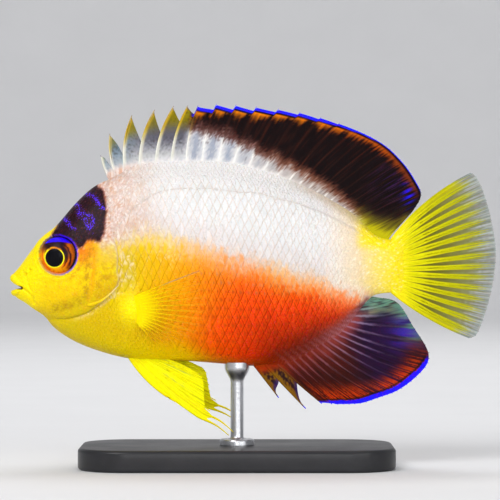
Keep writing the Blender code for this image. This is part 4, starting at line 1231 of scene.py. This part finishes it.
def make_lateral_line(word, side):
    """The row of raised, pored scales along the upper flank."""
    line = polyline(LATERAL_LINE, 400)
    way = np.concatenate([[0], np.cumsum(np.hypot(*np.diff(line, axis=0).T))])
    shape = Shape()
    spacing, length = 1.15, 0.8
    for start in np.arange(1.2, way[-1] - length, spacing):
        t = np.linspace(0, 1, 7)
        at = start + length * t
        x, z = np.interp(at, way, line[:, 0]), np.interp(at, way, line[:, 1])
        path, normals = flank_place(x, z, side, SCALE_LIFT)
        radii = 0.13 * np.sin(math.pi * (0.12 + 0.78 * t)) ** 0.7
        shape.add(*tube_mesh(path, radii, normals, 8, 0.75))
    points = shape.all_points()
    bumps = piece(f"lateral_line_{word}", points, shape.faces, "flank_orange", SCALES)
    paint(bumps, mix(skin_colour(points), (214, 196, 186), 0.35))


# Eyes

def turned_disc(profile, side, centre, segments):
    """A closed solid of revolution round the eye's axis, from (radius, depth) points, back to front."""
    turns = 2 * math.pi * np.arange(segments) / segments
    points = [(r * math.cos(a), depth, r * math.sin(a)) for r, depth in profile for a in turns]
    points = np.array(points + [(0.0, depth, 0.0) for _, depth in (profile[0], profile[-1])])
    cos_t, sin_t = math.cos(EYE_TURN), math.sin(EYE_TURN)
    x, y, z = points.T
    turned = np.stack([x * cos_t - y * sin_t, x * sin_t + y * cos_t, z], axis=1)
    return turned * (1, side, 1) + centre, pointed_faces(len(profile), segments)


def make_eye(word, side):
    """An eyeball with the iris and pupil on its domed face."""
    depth = float(flank(EYE_X, EYE_Z)) + EYE_STANDS_OUT - EYE_HALF_DEPTH
    centre = np.array((EYE_X, side * depth, EYE_Z))
    turns = np.linspace(-math.pi / 2, math.pi / 2, 121)[1:-1]
    ball = [(EYE_RADIUS * math.cos(t), EYE_HALF_DEPTH * math.sin(t)) for t in turns]
    points, faces = turned_disc(ball, side, centre, 160)
    eye = piece(f"eyeball_{word}", points, faces, "eye", eye_material(), (f"eye_{word}",))
    paint(eye, eye_colour(points[:, 0], points[:, 2]))


# Fins

def web_columns(count, per_gap, front_end, notch, fall):
    """Columns of a web as (ray place, share of the ray that it reaches), with one on each side of a ray."""
    columns = []
    near = 0.04
    for i in range(1, count):
        far = float(notch(i + 1))
        for f in np.linspace(near, 1 - near, per_gap):
            columns.append((i + f, front_end + (far - front_end) * f**fall))
    return columns


def even_columns(count, per_gap, end):
    """Columns of a web that reaches the same share of every ray."""
    return web_columns(count, per_gap, end, lambda i: end, 1.0)


def make_fin(node_name, word, surface, count, columns, rows, web, ray, branches, painter, slot):
    """A fin from a surface(place, share): a thin web over its columns, and rays with their branches.

    web and ray give half-thickness and radius from (place, share). branches lists, for a ray, the
    offsets in place of its branches and the share at which each starts.
    """

    def direction(u, t):
        step = 0.02
        across = surface(u + step, t) - surface(u - step, t)
        up = surface(u, t + step) - surface(u, np.maximum(t - step, 0))
        return unit(np.cross(across, up))

    def full_length(u):
        return np.linalg.norm(surface(u, np.ones_like(u)) - surface(u, np.zeros_like(u)), axis=-1)

    shape = Shape()
    place = np.array([c[0] for c in columns])
    reach = np.array([c[1] for c in columns])
    steps = 1 - (1 - np.linspace(0, 1, rows)) ** 1.5  # closer together towards the margin
    u = np.repeat(place, rows)
    t = (reach[:, None] * steps[None]).ravel()
    edge = ((1 - steps)[None] * reach[:, None]).ravel() * full_length(u)
    middle, normal = surface(u, t), direction(u, t)
    half = web(u, t)[:, None]
    points = np.vstack([middle + normal * half, middle - normal * half])
    faces = slab_faces(len(columns), rows)
    twice = [np.concatenate([v, v]) for v in (u, t, edge)]
    shape.add(points, faces, u=twice[0], t=twice[1], edge=twice[2], ray=0.0)
    for i in range(1, count + 1):
        for offset, start, finish in branches(i):
            t = np.linspace(start, finish, max(8, int(26 * (finish - start)) + 4))
            spread = offset * smooth(t, start, start + 0.45) if start > 0 else np.zeros_like(t)
            u = np.full_like(t, float(i)) + spread
            if start > 0 and abs(offset) > 0.2:
                u = i + offset * np.clip((t - start) / (finish - start), 0, 1) ** 0.8
            path, normals = surface(u, t), direction(u, t)
            sides = 6
            tube, tube_faces = tube_mesh(path, ray(u, t), normals, sides)
            t2 = np.concatenate([np.repeat(t, sides), t[:1], t[-1:]])
            u2 = np.concatenate([np.repeat(u, sides), u[:1], u[-1:]])
            edge = (1 - t2) * float(full_length(np.array([float(i)]))[0])
            shape.add(tube, tube_faces, u=u2, t=t2, edge=edge, ray=1.0)
    points = shape.all_points()
    fin = piece(f"{node_name}_skin{word}", points, shape.faces, slot, FIN, (node_name + word,))
    values = [shape.all_values(key) for key in ("u", "t", "edge", "ray")]
    paint(fin, *painter(points[:, 0], points[:, 2], *values))


def fan(roots, tips, bows=None):
    """(x, z) over a fin in the side view, from its ray curves."""
    tip_x, tip_z = curves(tips)

    def flat(u, t):
        root_x, root_z = roots(u)
        dx, dz = tip_x(u) - root_x, tip_z(u) - root_z
        length = np.maximum(np.hypot(dx, dz), 1e-6)
        bow = bows(u) * 4 * t * (1 - t) if bows else 0.0
        return root_x + dx * t - dz / length * bow, root_z + dz * t + dx / length * bow

    return flat


def upright(flat, sway):
    """A surface in the middle plane, swung a little aside by sway(place, share)."""

    def surface(u, t):
        x, z = flat(u, t)
        return np.stack([x, sway(u, t), z], axis=-1)

    return surface


def spine_or_split(spines, fork, second=False):
    """Branches of a ray: spines are single, soft rays fork once or twice."""

    def branches(i):
        if i <= spines:
            return [(0.0, 0.0, 1.0)]
        made = [(0.0, 0.0, fork + 0.06)]
        for first in (-0.24, 0.24):
            made.append((first, fork, 0.995))
            if second:
                made.append((first * 0.5, fork + 0.02, 0.99))
        return made

    return branches


def thickness(root, body, margin, sheath=0.35):
    """Half-thickness: a thick root that thins to a web and then to the margin."""

    def half(u, t):
        return margin + (body - margin) * (1 - t) + (root - body) * np.clip(1 - t / sheath, 0, 1) ** 2

    return half


def from_ray(u):
    """0 on a ray and 1 half-way between two."""
    return np.abs(u - np.round(u)) * 2


def spine_blade_colour(u, t, above, fine, blotch):
    """The free webs behind the first dorsal spines: blue-grey below and olive yellow above."""
    nearest = u - np.floor(u)
    olive = np.clip(smooth(t, 0.5, 0.8) + 0.2 * fine, 0, 1) * (0.3 + 0.7 * smooth(u, 1.5, 3.2))
    spine = np.clip(smooth(nearest, 0.24, 0.06) + smooth(nearest, 0.96, 0.99), 0, 1)
    pale = (0.6 + 0.3 * smooth(u, 3.0, 4.5)) * smooth(above + 0.9 * fine, 5.6, 1.5)
    return layered(
        mix((98, 124, 142), (122, 128, 138), smooth(u, 2.5, 4.0)),
        ((124, 114, 2), olive),
        ((52, 50, 54), 0.4 * smooth(fine + 0.4 * blotch, 0.0, 0.6)),
        ((58, 60, 74), 0.6 * hump(t + 0.1 * fine, 0.54, 0.17) * smooth(u, 3.2, 4.6)),
        ((210, 210, 210), pale),
        (mix((222, 218, 206), (190, 156, 30), smooth(t, 0.4, 0.75) * smooth(u, 0.8, 3.2)), spine),
    )


def dorsal_colour(x, z, u, t, edge, ray):
    """White below, near black above, an orange band, and a bright blue edge."""
    fine, blotch, speck = mottle(x, z, 0.4, 7.0), mottle(x, z, 2.2, 8.0), mottle(x, z, 0.2, 8.3)
    streak, thin = mottle(u * 2.6, t * 2.4, 1.0, 8.5), mottle(u * 8.0, t * 4.0, 1.0, 8.7)
    high = z - curve(DORSAL_WHITE)(x) + 0.5 * blotch + 0.8 * fine + 0.5 * streak + 0.4 * thin
    gap, above = from_ray(u), z - back(x)
    web = smooth(gap + 0.5 * fine + 0.35 * speck, 0.2, 1.0) * smooth(u, 15.0, 10.0)
    pale = 0.75 * smooth(gap + 0.2 * fine, 0.26, 0.05) + 0.26 * smooth(streak + 0.5 * fine, -0.1, 0.6)
    low = layered(
        mix((200, 201, 204), (150, 159, 173), web),
        ((164, 153, 145), 0.8 * smooth(u, 9.0, 15.0)),
        ((108, 94, 92), 0.65 * smooth(speck + 0.5 * thin + 0.3 * (high + 2.0), -0.1, 0.8)),
        ((238, 234, 228), np.clip(pale, 0, 1)),
        ((226, 221, 216), smooth(above + 0.5 * fine, 2.1, 0.9) * smooth(x, 56.0, 50.0)),
    )
    purple = hump(np.hypot((x - 70.5) / 4.0, (z - 12.5) / 3.6), 0.0, 1.0) * smooth(thin, -0.1, 0.5)
    dark = layered(
        mix((10, 3, 4), (64, 26, 14), 0.5 * smooth(gap, 0.16, 0.02) + 0.35 * smooth(thin, 0.0, 0.6)),
        ((48, 28, 104), 0.6 * purple),
    )
    brown = mix((90, 62, 56), (112, 70, 52), smooth(x, 40.0, 54.0))
    edge_zone = high + 0.5 * speck
    blade = smooth(u, 7.4, 6.4)
    # the body's colours carried onto the fin's root, made 3% darker as painted shade, since the upright fin
    # faces the key light more squarely than the rounded back
    nape = body_colour(x, np.minimum(z, back(x) - 0.6)) * 0.97
    foot = above + streak + 0.7 * thin
    rear = layered(
        mix((178, 170, 6), (88, 82, 18), smooth(foot, 0.4, 2.8)),
        ((40, 32, 18), smooth(foot, 2.4, 4.6)),
    )
    glow = hump(np.hypot((x - 73.8) / 1.2, (z - 10.6) / 2.4), 0.0, 1.0)

    soft = smooth(u, 6.6, 7.1)
    orange = mix((240, 130, 4), (178, 76, 3), smooth(u, 11.0, 17.0))
    orange = mix(orange, (104, 42, 8), smooth(u, 17.0, 22.0))
    tongue = 0.52 + 0.68 * hump(u - np.floor(u), 0.3, 0.34)
    flare = np.maximum(tongue + (0.85 - tongue) * smooth(u, 12.0, 17.0) + 0.55 * thin + 0.2 * fine, 0.15)
    band = smooth(edge, 0.3, 0.7) * smooth(edge / flare, 2.5, 0.5) * soft * smooth(u, 26.0, 23.0)
    width = 0.56 - 0.42 * smooth(u, 12.5, 18.0)
    colours = layered(
        mix(low, brown, smooth(edge_zone, -2.2, -0.3)),
        (dark, smooth(edge_zone, -1.0, 1.6)),
        (spine_blade_colour(u, t, above, fine, blotch), blade * smooth(above, 0.6, 2.4)),
        (nape, smooth(above + 0.5 * fine, 2.2, 0.5) * smooth(x, 33.0, 24.0)),
        (rear, smooth(x, 62.5, 67.0) * smooth(foot, 5.6, 2.4)),
        ((28, 16, 226), glow * smooth(gap + 0.6 * thin, 0.4, 0.75)),
        (orange, np.clip(band, 0, 1)),
        ((10, 5, 10), smooth(edge, width + 0.42, width + 0.22) * soft * smooth(u, 26.0, 23.0)),
        ((22, 20, 246), smooth(edge, width + 0.04, width - 0.04) * soft * smooth(u, 25.5, 23.5)),
        ((96, 78, 110), 0.8 * smooth(edge, 0.4, 0.1) * smooth(t, 0.9, 0.96) * blade),
    )
    light = smooth(high, -0.4, -2.2) * smooth(above, 1.6, 2.6) * (1 - ray)
    return colours, 0.06 * light + 0.12 * light * blade


def anal_colour(x, z, u, t, edge, ray):
    """Maroon and violet with pale rays, the flank's colour at the base, red streaks and a blue lower edge."""
    fine, blotch = mottle(x, z, 0.4, 9.0), mottle(x, z, 2.0, 10.0)
    streak, thin = mottle(u * 2.2, t * 2.0, 1.0, 9.5), mottle(u * 8.0, t * 4.0, 1.0, 9.7)
    gap, below = from_ray(u), belly(x) - z
    teal = hump(line_distance(x, z, polyline(ANAL_TOP_LINE, 20))[0] + 0.4 * blotch, 0.0, 2.3)
    violet = hump(np.hypot((x - 72.9) / 2.9, (z + 15.6) / 3.0), 0.0, 1.0)
    flank_tone = body_colour(x, np.maximum(z, belly(x) - 0.8), False)
    web = layered(
        mix((66, 18, 11), (44, 11, 6), smooth(t, 0.2, 0.6)),
        ((28, 11, 44), smooth(x + 0.35 * z + blotch, 53.5, 60.5)),
        ((14, 5, 9), 0.55 * smooth(thin, 0.0, 0.6)),
        ((82, 142, 122), 0.9 * teal * smooth(thin, 1.1, -0.3)),
        ((48, 30, 165), 0.8 * violet * smooth(gap + 0.5 * thin, 0.1, 0.6)),
        (flank_tone, smooth(below + 1.1 * streak + 0.8 * thin, 4.8, 0.2) * (1 - 0.92 * teal)),
    )
    rays = mix((142, 78, 88), (160, 134, 168), smooth(x, 55.0, 66.0))
    rays = mix(rays, (124, 178, 150), 0.85 * teal)
    narrowed = gap * (1 + 0.6 * smooth(t, 0.25, 0.6)) + 0.14 * mottle(x, z, 0.24, 9.3)
    lines = smooth(narrowed, 0.44, 0.1) * smooth(t + 0.06 * fine, 0.92, 0.6) * smooth(u, 2.6, 3.6)
    lines *= (1 - 0.4 * smooth(thin, 0.1, 0.6)) * smooth(below, -1.6, 0.4) * (1 - 0.72 * smooth(t, 0.2, 0.6))
    corner = hump(np.hypot((x - 75.2) / 2.8, (z + 20.2) / 2.8), 0.0, 1.0)
    lower = smooth(u, 14.3, 13.3)
    fire = 0.12 + 0.88 * smooth(mottle(u * 14.0, t * 3.0, 1.0, 9.9) + 0.4 * streak + 0.3 * fine, -0.3, 0.35)
    submargin = smooth(edge * (0.72 + 0.28 * smooth(u, 6.0, 11.0)) + 0.6 * streak, 5.8, 1.8)
    submargin *= smooth(u, 15.5, 12.5) * smooth(u, 2.8, 4.0) * smooth(below, 0.6, 3.0)
    spine = mix((122, 84, 12), (36, 20, 22), smooth(fine + 1.2 * (gap - 0.5), -0.2, 0.5))
    spine = mix(spine, (40, 30, 110), 0.7 * smooth(edge, 1.3, 0.3))
    width = 0.9 * curve(ANAL_BLUE)(u) + 0.14 * thin
    reaches = np.maximum(smooth(u, 3.2, 4.0), smooth(t, 0.9, 0.97))
    colours = layered(
        web,
        (rays, np.clip(0.7 * lines, 0, 1)),
        ((36, 14, 16), 0.85 * corner),
        ((218, 60, 1), 0.82 * submargin * fire),
        (spine, smooth(u, 3.3, 2.6) * smooth(below, 0.6, 2.4)),
        ((12, 7, 14), 0.92 * hump(edge, width + 0.3, 0.22) * lower * smooth(u, 3.0, 3.8)),
        ((26, 14, 254), smooth(edge, width + 0.07, width - 0.07) * lower * reaches),
    )
    return colours * (1 + 0.08 * blotch)[:, None], np.zeros_like(t)


def caudal_colour(x, z, u, t, edge, ray):
    """Yellow rays that fork, olive windows between them and a pale see-through margin."""
    fine, thin = mottle(x, z, 0.5, 11.0), mottle(u * 9.0, t * 2.0, 1.0, 11.5)
    gap = from_ray(u)
    outer = np.minimum(u - 1, CAUDAL_RAYS - u)
    inner = smooth(outer, 0.3, 1.2)
    start = 1.05 - 0.5 * smooth(t, 0.1, 0.55)
    window = smooth(gap, start - 0.12, start + 0.08) * inner * smooth(t, 0.12, 0.2)
    fork = smooth(gap, 0.16, 0.06) * smooth(t, 0.55, 0.75) * inner
    pane = mix((100, 100, 16), (120, 124, 78), smooth(t, 0.35, 0.8))
    twig = np.clip(hump(gap, 0.16, 0.09) + hump(gap, 0.62, 0.09), 0, 1) * smooth(outer, -0.2, 0.4)
    fringe = smooth(t + 0.04 * fine + 0.04 * thin, 0.72 + 0.2 * twig, 0.9 + 0.1 * twig)
    root = smooth(x, 75.0, 71.5)
    colours = layered(
        mix((212, 204, 4), (186, 181, 8), smooth(t, 0.2, 0.7)),
        (pane, np.maximum(window, 0.7 * fork)),
        ((112, 114, 44), 0.6 * hump(gap, 0.38, 0.07) * smooth(t, 0.66, 0.82) * inner),
        (mix((130, 136, 132), (160, 166, 162), smooth(thin, -0.4, 0.5)), fringe),
        ((176, 182, 178), 0.5 * smooth(edge, 0.35, 0.1)),
    )
    colours = layered(
        colours * (1 + 0.05 * fine + 0.07 * thin)[:, None],
        ((238, 218, 20), root),
        # white specks where the stalk's scales run onto the fin's root: painted highlights
        ((250, 246, 200), 0.5 * root * smooth(mottle(x, z, 0.3, 5.5), 0.2, 0.6)),
    )
    return colours, (1 - ray) * (0.12 * window + 0.1 * smooth(t, 0.75, 0.95))


def pectoral_colour(x, z, u, t, edge, ray):
    """See-through yellow with finer rays that fade out towards the margin, and a fleshy root."""
    rays = ramp(t, [(0.1, (252, 234, 2)), (0.45, (252, 206, 6)), (0.9, (250, 150, 16))])
    web = ramp(t, [(0.05, (252, 234, 2)), (0.4, (250, 200, 8)), (0.9, (248, 150, 20))])
    first = smooth(u, 1.3, 1.05) * smooth(t, 0.35, 0.6)
    web_solid = 1 - 0.97 * smooth(t, 0.1, 0.42) * (0.45 + 0.55 * smooth(from_ray(u), 0.0, 0.4))
    solid = np.where(ray > 0.5, 1 - 0.3 * smooth(t, 0.12, 0.4), web_solid) * smooth(t, 0.98, 0.4)
    clear = (1 - solid) * (1 - 0.4 * first)
    return mix(mix(web, rays, ray), (190, 160, 110), first), np.clip(clear, 0, 0.99)


def pelvic_colour(x, z, u, t, edge, ray):
    """Lemon yellow with fine lines along the rays, orange by the spine and greenish webs behind."""
    fine = mottle(x, z, 0.6, 12.0)
    streak, thin = mottle(u * 5.0, t * 1.6, 1.0, 12.5), mottle(u * 9.0, t * 1.4, 1.0, 12.9)
    patch = smooth(streak + 0.6 * fine, 0.1, 0.5) * smooth(u, 3.4, 4.6)
    patch = patch * smooth(t, 0.2, 0.4) * smooth(t, 0.9, 0.7)
    rays = mix((240, 232, 6), (246, 222, 6), smooth(t, 0.66, 0.9) * smooth(u, 4.0, 3.4))
    colours = layered(
        mix((250, 244, 4), (212, 206, 6), 0.75 * smooth(thin + 0.3 * fine, -0.1, 0.45)),
        ((248, 176, 4), 0.8 * smooth(streak, -0.1, 0.4) * hump(u, 1.35, 0.45)),
        ((240, 196, 4), 0.5 * smooth(streak, 0.0, 0.5) * smooth(u, 4.4, 2.6)),
        ((190, 196, 92), 0.6 * patch),
        ((150, 150, 10), 0.5 * hump(from_ray(u), 0.24, 0.05) * smooth(t, 0.4, 0.6)),
        (rays, 0.8 * ray),
    )
    return colours, (1 - ray) * (0.04 + 0.08 * smooth(u, 4.2, 7.0))


def make_dorsal_fin():
    root_x, notch = curve(DORSAL_ROOTS), curve(DORSAL_NOTCHES)
    flat = fan(lambda u: (root_x(u), back(root_x(u)) - FIN_ROOT_DEPTH), DORSAL_TIPS, curve(DORSAL_BOWS))
    surface = upright(flat, lambda u, t: 0.35 * np.sin(u * 0.55) * t**2 * smooth(u, 8.0, 18.0))
    count = DORSAL_SPINES + DORSAL_RAYS
    columns = web_columns(count, 13, 0.985, notch, 0.9)
    columns = [(u, end if u < DORSAL_SPINES else 0.985) for u, end in columns]

    def ray(u, t):
        return (0.28 - 0.12 * smooth(u, 2.0, 10.0) - 0.05 * smooth(u, 13.0, 16.0)) * (1 - 0.78 * t)

    web, branches = thickness(0.3, 0.1, 0.05, 0.2), spine_or_split(DORSAL_SPINES, 0.5)
    make_fin("dorsal_fin", "", surface, count, columns, 40, web, ray, branches, dorsal_colour, "fin_dark")


def make_anal_fin():
    notch = curve(ANAL_NOTCHES)
    flat = fan(lambda u: (anal_root(u), belly(anal_root(u)) + FIN_ROOT_DEPTH), ANAL_TIPS, curve(ANAL_BOWS))
    surface = upright(flat, lambda u, t: 0.3 * np.sin(u * 0.6 + 1.0) * t**2 * smooth(u, 4.0, 9.0))
    count = ANAL_SPINES + ANAL_RAYS
    columns = web_columns(count, 13, 0.98, notch, 0.5)
    columns = [(u, end if u < ANAL_SPINES + 1 else 0.985) for u, end in columns]

    def ray(u, t):
        return (0.36 - 0.18 * smooth(u, 2.0, 4.5)) * (1 - 0.74 * t)

    web, branches = thickness(0.4, 0.1, 0.05, 0.25), spine_or_split(ANAL_SPINES, 0.5)
    make_fin("anal_fin", "", surface, count, columns, 44, web, ray, branches, anal_colour, "fin_violet")


def make_caudal_fin():
    top, bottom = float(back(CAUDAL_ROOT_X)) - 0.25, float(belly(CAUDAL_ROOT_X)) + 0.25
    share = curve([(1, 0.0), (CAUDAL_RAYS, 1.0)])
    roots = lambda u: (CAUDAL_ROOT_X - 0.9, top + (bottom - top) * share(u))
    surface = upright(
        fan(roots, CAUDAL_TIPS, curve(CAUDAL_BOWS)), lambda u, t: 0.45 * np.sin((u - 1) * 0.42) * t**2
    )

    def ray(u, t):
        return 0.24 * (1 - 0.72 * t)

    columns = even_columns(CAUDAL_RAYS, 17, 0.99)
    web, branches = thickness(0.7, 0.12, 0.05, 0.16), spine_or_split(0, 0.34, True)
    make_fin(
        "caudal_fin", "", surface, CAUDAL_RAYS, columns, 34, web, ray, branches, caudal_colour, "fin_yellow"
    )


def make_pectoral_fin(word, side):
    flat = fan(lambda u: [root(u) for root in curves(PECTORAL_ROOTS)], PECTORAL_TIPS)
    hinge_x = PECTORAL_ROOTS[0][1]
    slope = math.tan(PECTORAL_SPLAY)

    def surface(u, t):
        x, z = flat(u, t)
        ripple = 0.22 * np.sin(u * 0.8) * t**2
        sink = 1.1 * np.clip(1 - t / 0.12, 0, 1) ** 1.5
        y = flank(hinge_x, z) + PECTORAL_CLEARANCE * smooth(t, -0.08, 0.2)
        y = y - sink + (x - hinge_x) * slope + ripple
        return np.stack([x, side * y, z], axis=-1)

    def ray(u, t):
        return 0.13 * (1 - 0.8 * t)

    columns = even_columns(PECTORAL_RAYS, 7, 0.985)
    web, branches = thickness(0.3, 0.06, 0.035, 0.2), spine_or_split(1, 0.5)
    make_fin(
        "pectoral_fin", f"_{word}", surface, PECTORAL_RAYS, columns, 26, web, ray, branches, pectoral_colour,
        "fin_yellow",
    )


def make_pelvic_fin(word, side):
    root_x, bows, ends = curve(PELVIC_ROOT_X), curve(PELVIC_BOWS), curve(PELVIC_MEMBRANE_ENDS)
    tip_x, tip_z = curves(PELVIC_TIPS)
    count = PELVIC_TIPS[-1][0]
    raised = PELVIC_RAISE[word]

    def surface(u, t):
        foot = root_x(u)
        dx, dz = tip_x(u) - foot, tip_z(u) - PELVIC_ROOT_Z
        bow = bows(u) * 4 * t * (1 - t) / np.hypot(dx, dz)
        thread = 0.45 * np.sin(math.pi * np.clip((t - 0.74) / 0.26, 0, 1)) / np.hypot(dx, dz)
        bow = bow + thread * smooth(np.abs(u - 2.5), 1.2, 0.8)
        along, down = dx * t - dz * bow, dz * t + dx * bow
        x = foot + along * math.cos(raised) - down * math.sin(raised)
        z = PELVIC_ROOT_Z + along * math.sin(raised) + down * math.cos(raised)
        y = PELVIC_HALF_SPACING + (PELVIC_ROOT_Z - z) * PELVIC_SPLAY
        return np.stack([x, side * y, z], axis=-1)

    def ray(u, t):
        return (0.32 - 0.04 * smooth(u, 1.0, 2.0)) * (1 - 0.3 * t - 0.4 * smooth(t, 0.78, 1.0))

    columns = [(u, float(ends(u))) for u, _ in even_columns(count, 12, 1.0)]
    web, branches = thickness(0.4, 0.1, 0.05, 0.3), spine_or_split(3, 0.45)
    make_fin(
        "pelvic_fin", f"_{word}", surface, count, columns, 30, web, ray, branches, pelvic_colour, "fin_yellow"
    )


# Stand, studio and camera

def lathe_points(profile, segments, centre_x=0.0):
    """Points turned round an upright axis, from (radius, z) points."""
    turns = 2 * math.pi * np.arange(segments) / segments
    return [(centre_x + r * math.cos(a), r * math.sin(a), z) for r, z in profile for a in turns]


def make_plate():
    """A satin black plate with round corners and rounded edges."""
    floor, top = -AXIS_HEIGHT, BASE_HEIGHT - AXIS_HEIGHT
    levels = [(floor + BASE_BEVEL * (1 - math.cos(a)), BASE_BEVEL * (1 - math.sin(a))) for a in QUARTER]
    levels += [(top - BASE_BEVEL * (1 - math.sin(a)), BASE_BEVEL * (1 - math.cos(a))) for a in QUARTER]
    per_corner = 13
    points = []
    for z, inset in levels:
        radius = BASE_CORNER - inset
        for turn in range(4):
            middle = turn * math.pi / 2 + math.pi / 4
            x = BASE_X + math.copysign(BASE_LENGTH / 2 - BASE_CORNER, math.cos(middle))
            y = math.copysign(BASE_WIDTH / 2 - BASE_CORNER, math.sin(middle))
            for step in range(per_corner):
                a = turn * math.pi / 2 + step * math.pi / 24
                points.append((x + radius * math.cos(a), y + radius * math.sin(a), z))
    faces = capped_faces(len(levels), 4 * per_corner)
    plate = piece("stand_plate", points, faces, "stand_plate", plate_material(), ("stand_base",))
    plate.data.set_sharp_from_angle(angle=SHARP_ANGLE)


def make_rod():
    """A turned steel rod with a round foot and a flared saddle under the belly."""
    foot, under = BASE_HEIGHT - AXIS_HEIGHT + 0.02, float(belly(ROD_X))
    rounding, hollow = 0.35, 0.5
    rim, shoulder = FOOT_RADIUS - rounding, foot + FOOT_HEIGHT
    profile = [(FOOT_RADIUS, foot)]
    profile += [(rim + rounding * math.cos(a), shoulder - rounding + rounding * math.sin(a)) for a in QUARTER]
    for a in QUARTER:
        profile.append((ROD_RADIUS + hollow * (1 - math.sin(a)), shoulder + hollow * (1 - math.cos(a))))
    start, end = under - SADDLE_DEPTH, under - 0.4
    for s in np.linspace(0, 1, 12):
        flare = s * s * (3 - 2 * s)
        profile.append((ROD_RADIUS + (SADDLE_RADIUS - ROD_RADIUS) * flare, start + (end - start) * s))
    profile.append((SADDLE_RADIUS, under + 0.5))
    points, faces = lathe_points(profile, 48, ROD_X), capped_faces(len(profile), 48)
    rod = piece("stand_rod_turned", points, faces, "stand_steel", steel_material(), ("stand_rod",))
    rod.data.set_sharp_from_angle(angle=SHARP_ANGLE)


def make_floor():
    """A pale floor that curves up into a wall all round."""
    profile = [(0.0005, 0.0), (FLOOR_RADIUS * 0.5, 0.0)]
    for step in range(13):
        a = step * math.pi / 24
        profile.append((FLOOR_RADIUS + FLOOR_CURVE * math.sin(a), FLOOR_CURVE * (1 - math.cos(a))))
    profile.append((FLOOR_RADIUS + FLOOR_CURVE, WALL_HEIGHT))
    segments = 96
    mesh = bpy.data.meshes.new("floor")
    faces = ring_faces(len(profile), segments) + [tuple(range(segments))[::-1]]
    mesh.from_pydata(lathe_points(profile, segments), [], faces)
    mesh.shade_smooth()
    floor = bpy.data.objects.new("floor", mesh)
    bpy.context.scene.collection.objects.link(floor)
    material, tree, shader = new_material("studio_paper", 0.85)
    two_tones(tree, shader, (0.70, 0.70, 0.71), (0.74, 0.74, 0.75), noise_node(tree, 30.0))
    floor.data.materials.append(material)


def area_light(name, place, target, size, power):
    data = bpy.data.lights.new(name, "AREA")
    data.shape = "DISK"
    data.size = size
    data.energy = power
    light = bpy.data.objects.new(name, data)
    light.location = place
    light.rotation_euler = (Vector(target) - Vector(place)).to_track_quat("-Z", "Y").to_euler()
    light.visible_camera = False
    bpy.context.scene.collection.objects.link(light)


def make_studio():
    """Soft light from the front, above and behind, and the camera square to the fish's left side."""
    centre = (0.0, 0.0, 0.035)
    area_light("key", (-0.35, -0.6, 0.55), centre, 0.5, 4.6)
    area_light("fill", (0.45, -0.65, 0.15), centre, 0.6, 2.6)
    area_light("low", (0.0, -0.8, 0.012), centre, 0.4, 2.2)
    area_light("top", (0.05, 0.25, 0.75), centre, 0.6, 2.4)
    area_light("backdrop", (0.0, 0.5, 0.9), (0.0, 1.3, 0.1), 0.6, 3.8)
    sky = bpy.data.worlds.new("studio")
    sky.use_nodes = True
    background = sky.node_tree.nodes["Background"]
    background.inputs["Color"].default_value = (0.9, 0.92, 0.95, 1)
    background.inputs["Strength"].default_value = 0.3
    bpy.context.scene.world = sky
    bpy.context.scene.view_settings.view_transform = "Standard"
    camera_data = bpy.data.cameras.new("camera")
    camera_data.lens = LENS
    camera_data.sensor_width = SENSOR
    camera_data.clip_start = 0.01
    camera = bpy.data.objects.new("camera", camera_data)
    aim = world((FRAME_CENTRE[0], 0.0, FRAME_CENTRE[1]))
    camera.location = (aim[0], -FRAME_WIDTH * MM * LENS / SENSOR, aim[2])
    camera.rotation_euler = (math.pi / 2, 0.0, 0.0)
    bpy.context.scene.collection.objects.link(camera)
    bpy.context.scene.camera = camera


make_studio()
make_floor()
make_plate()
make_rod()
make_skin()
make_dorsal_fin()
make_anal_fin()
make_caudal_fin()
for word, side in SIDES.items():
    make_gill_flap(word, side)
    make_cheek_spine(word, side)
    make_scales(word, side, False)
    make_scales(word, side, True)
    make_lateral_line(word, side)
    make_eye(word, side)
    make_pectoral_fin(word, side)
    make_pelvic_fin(word, side)
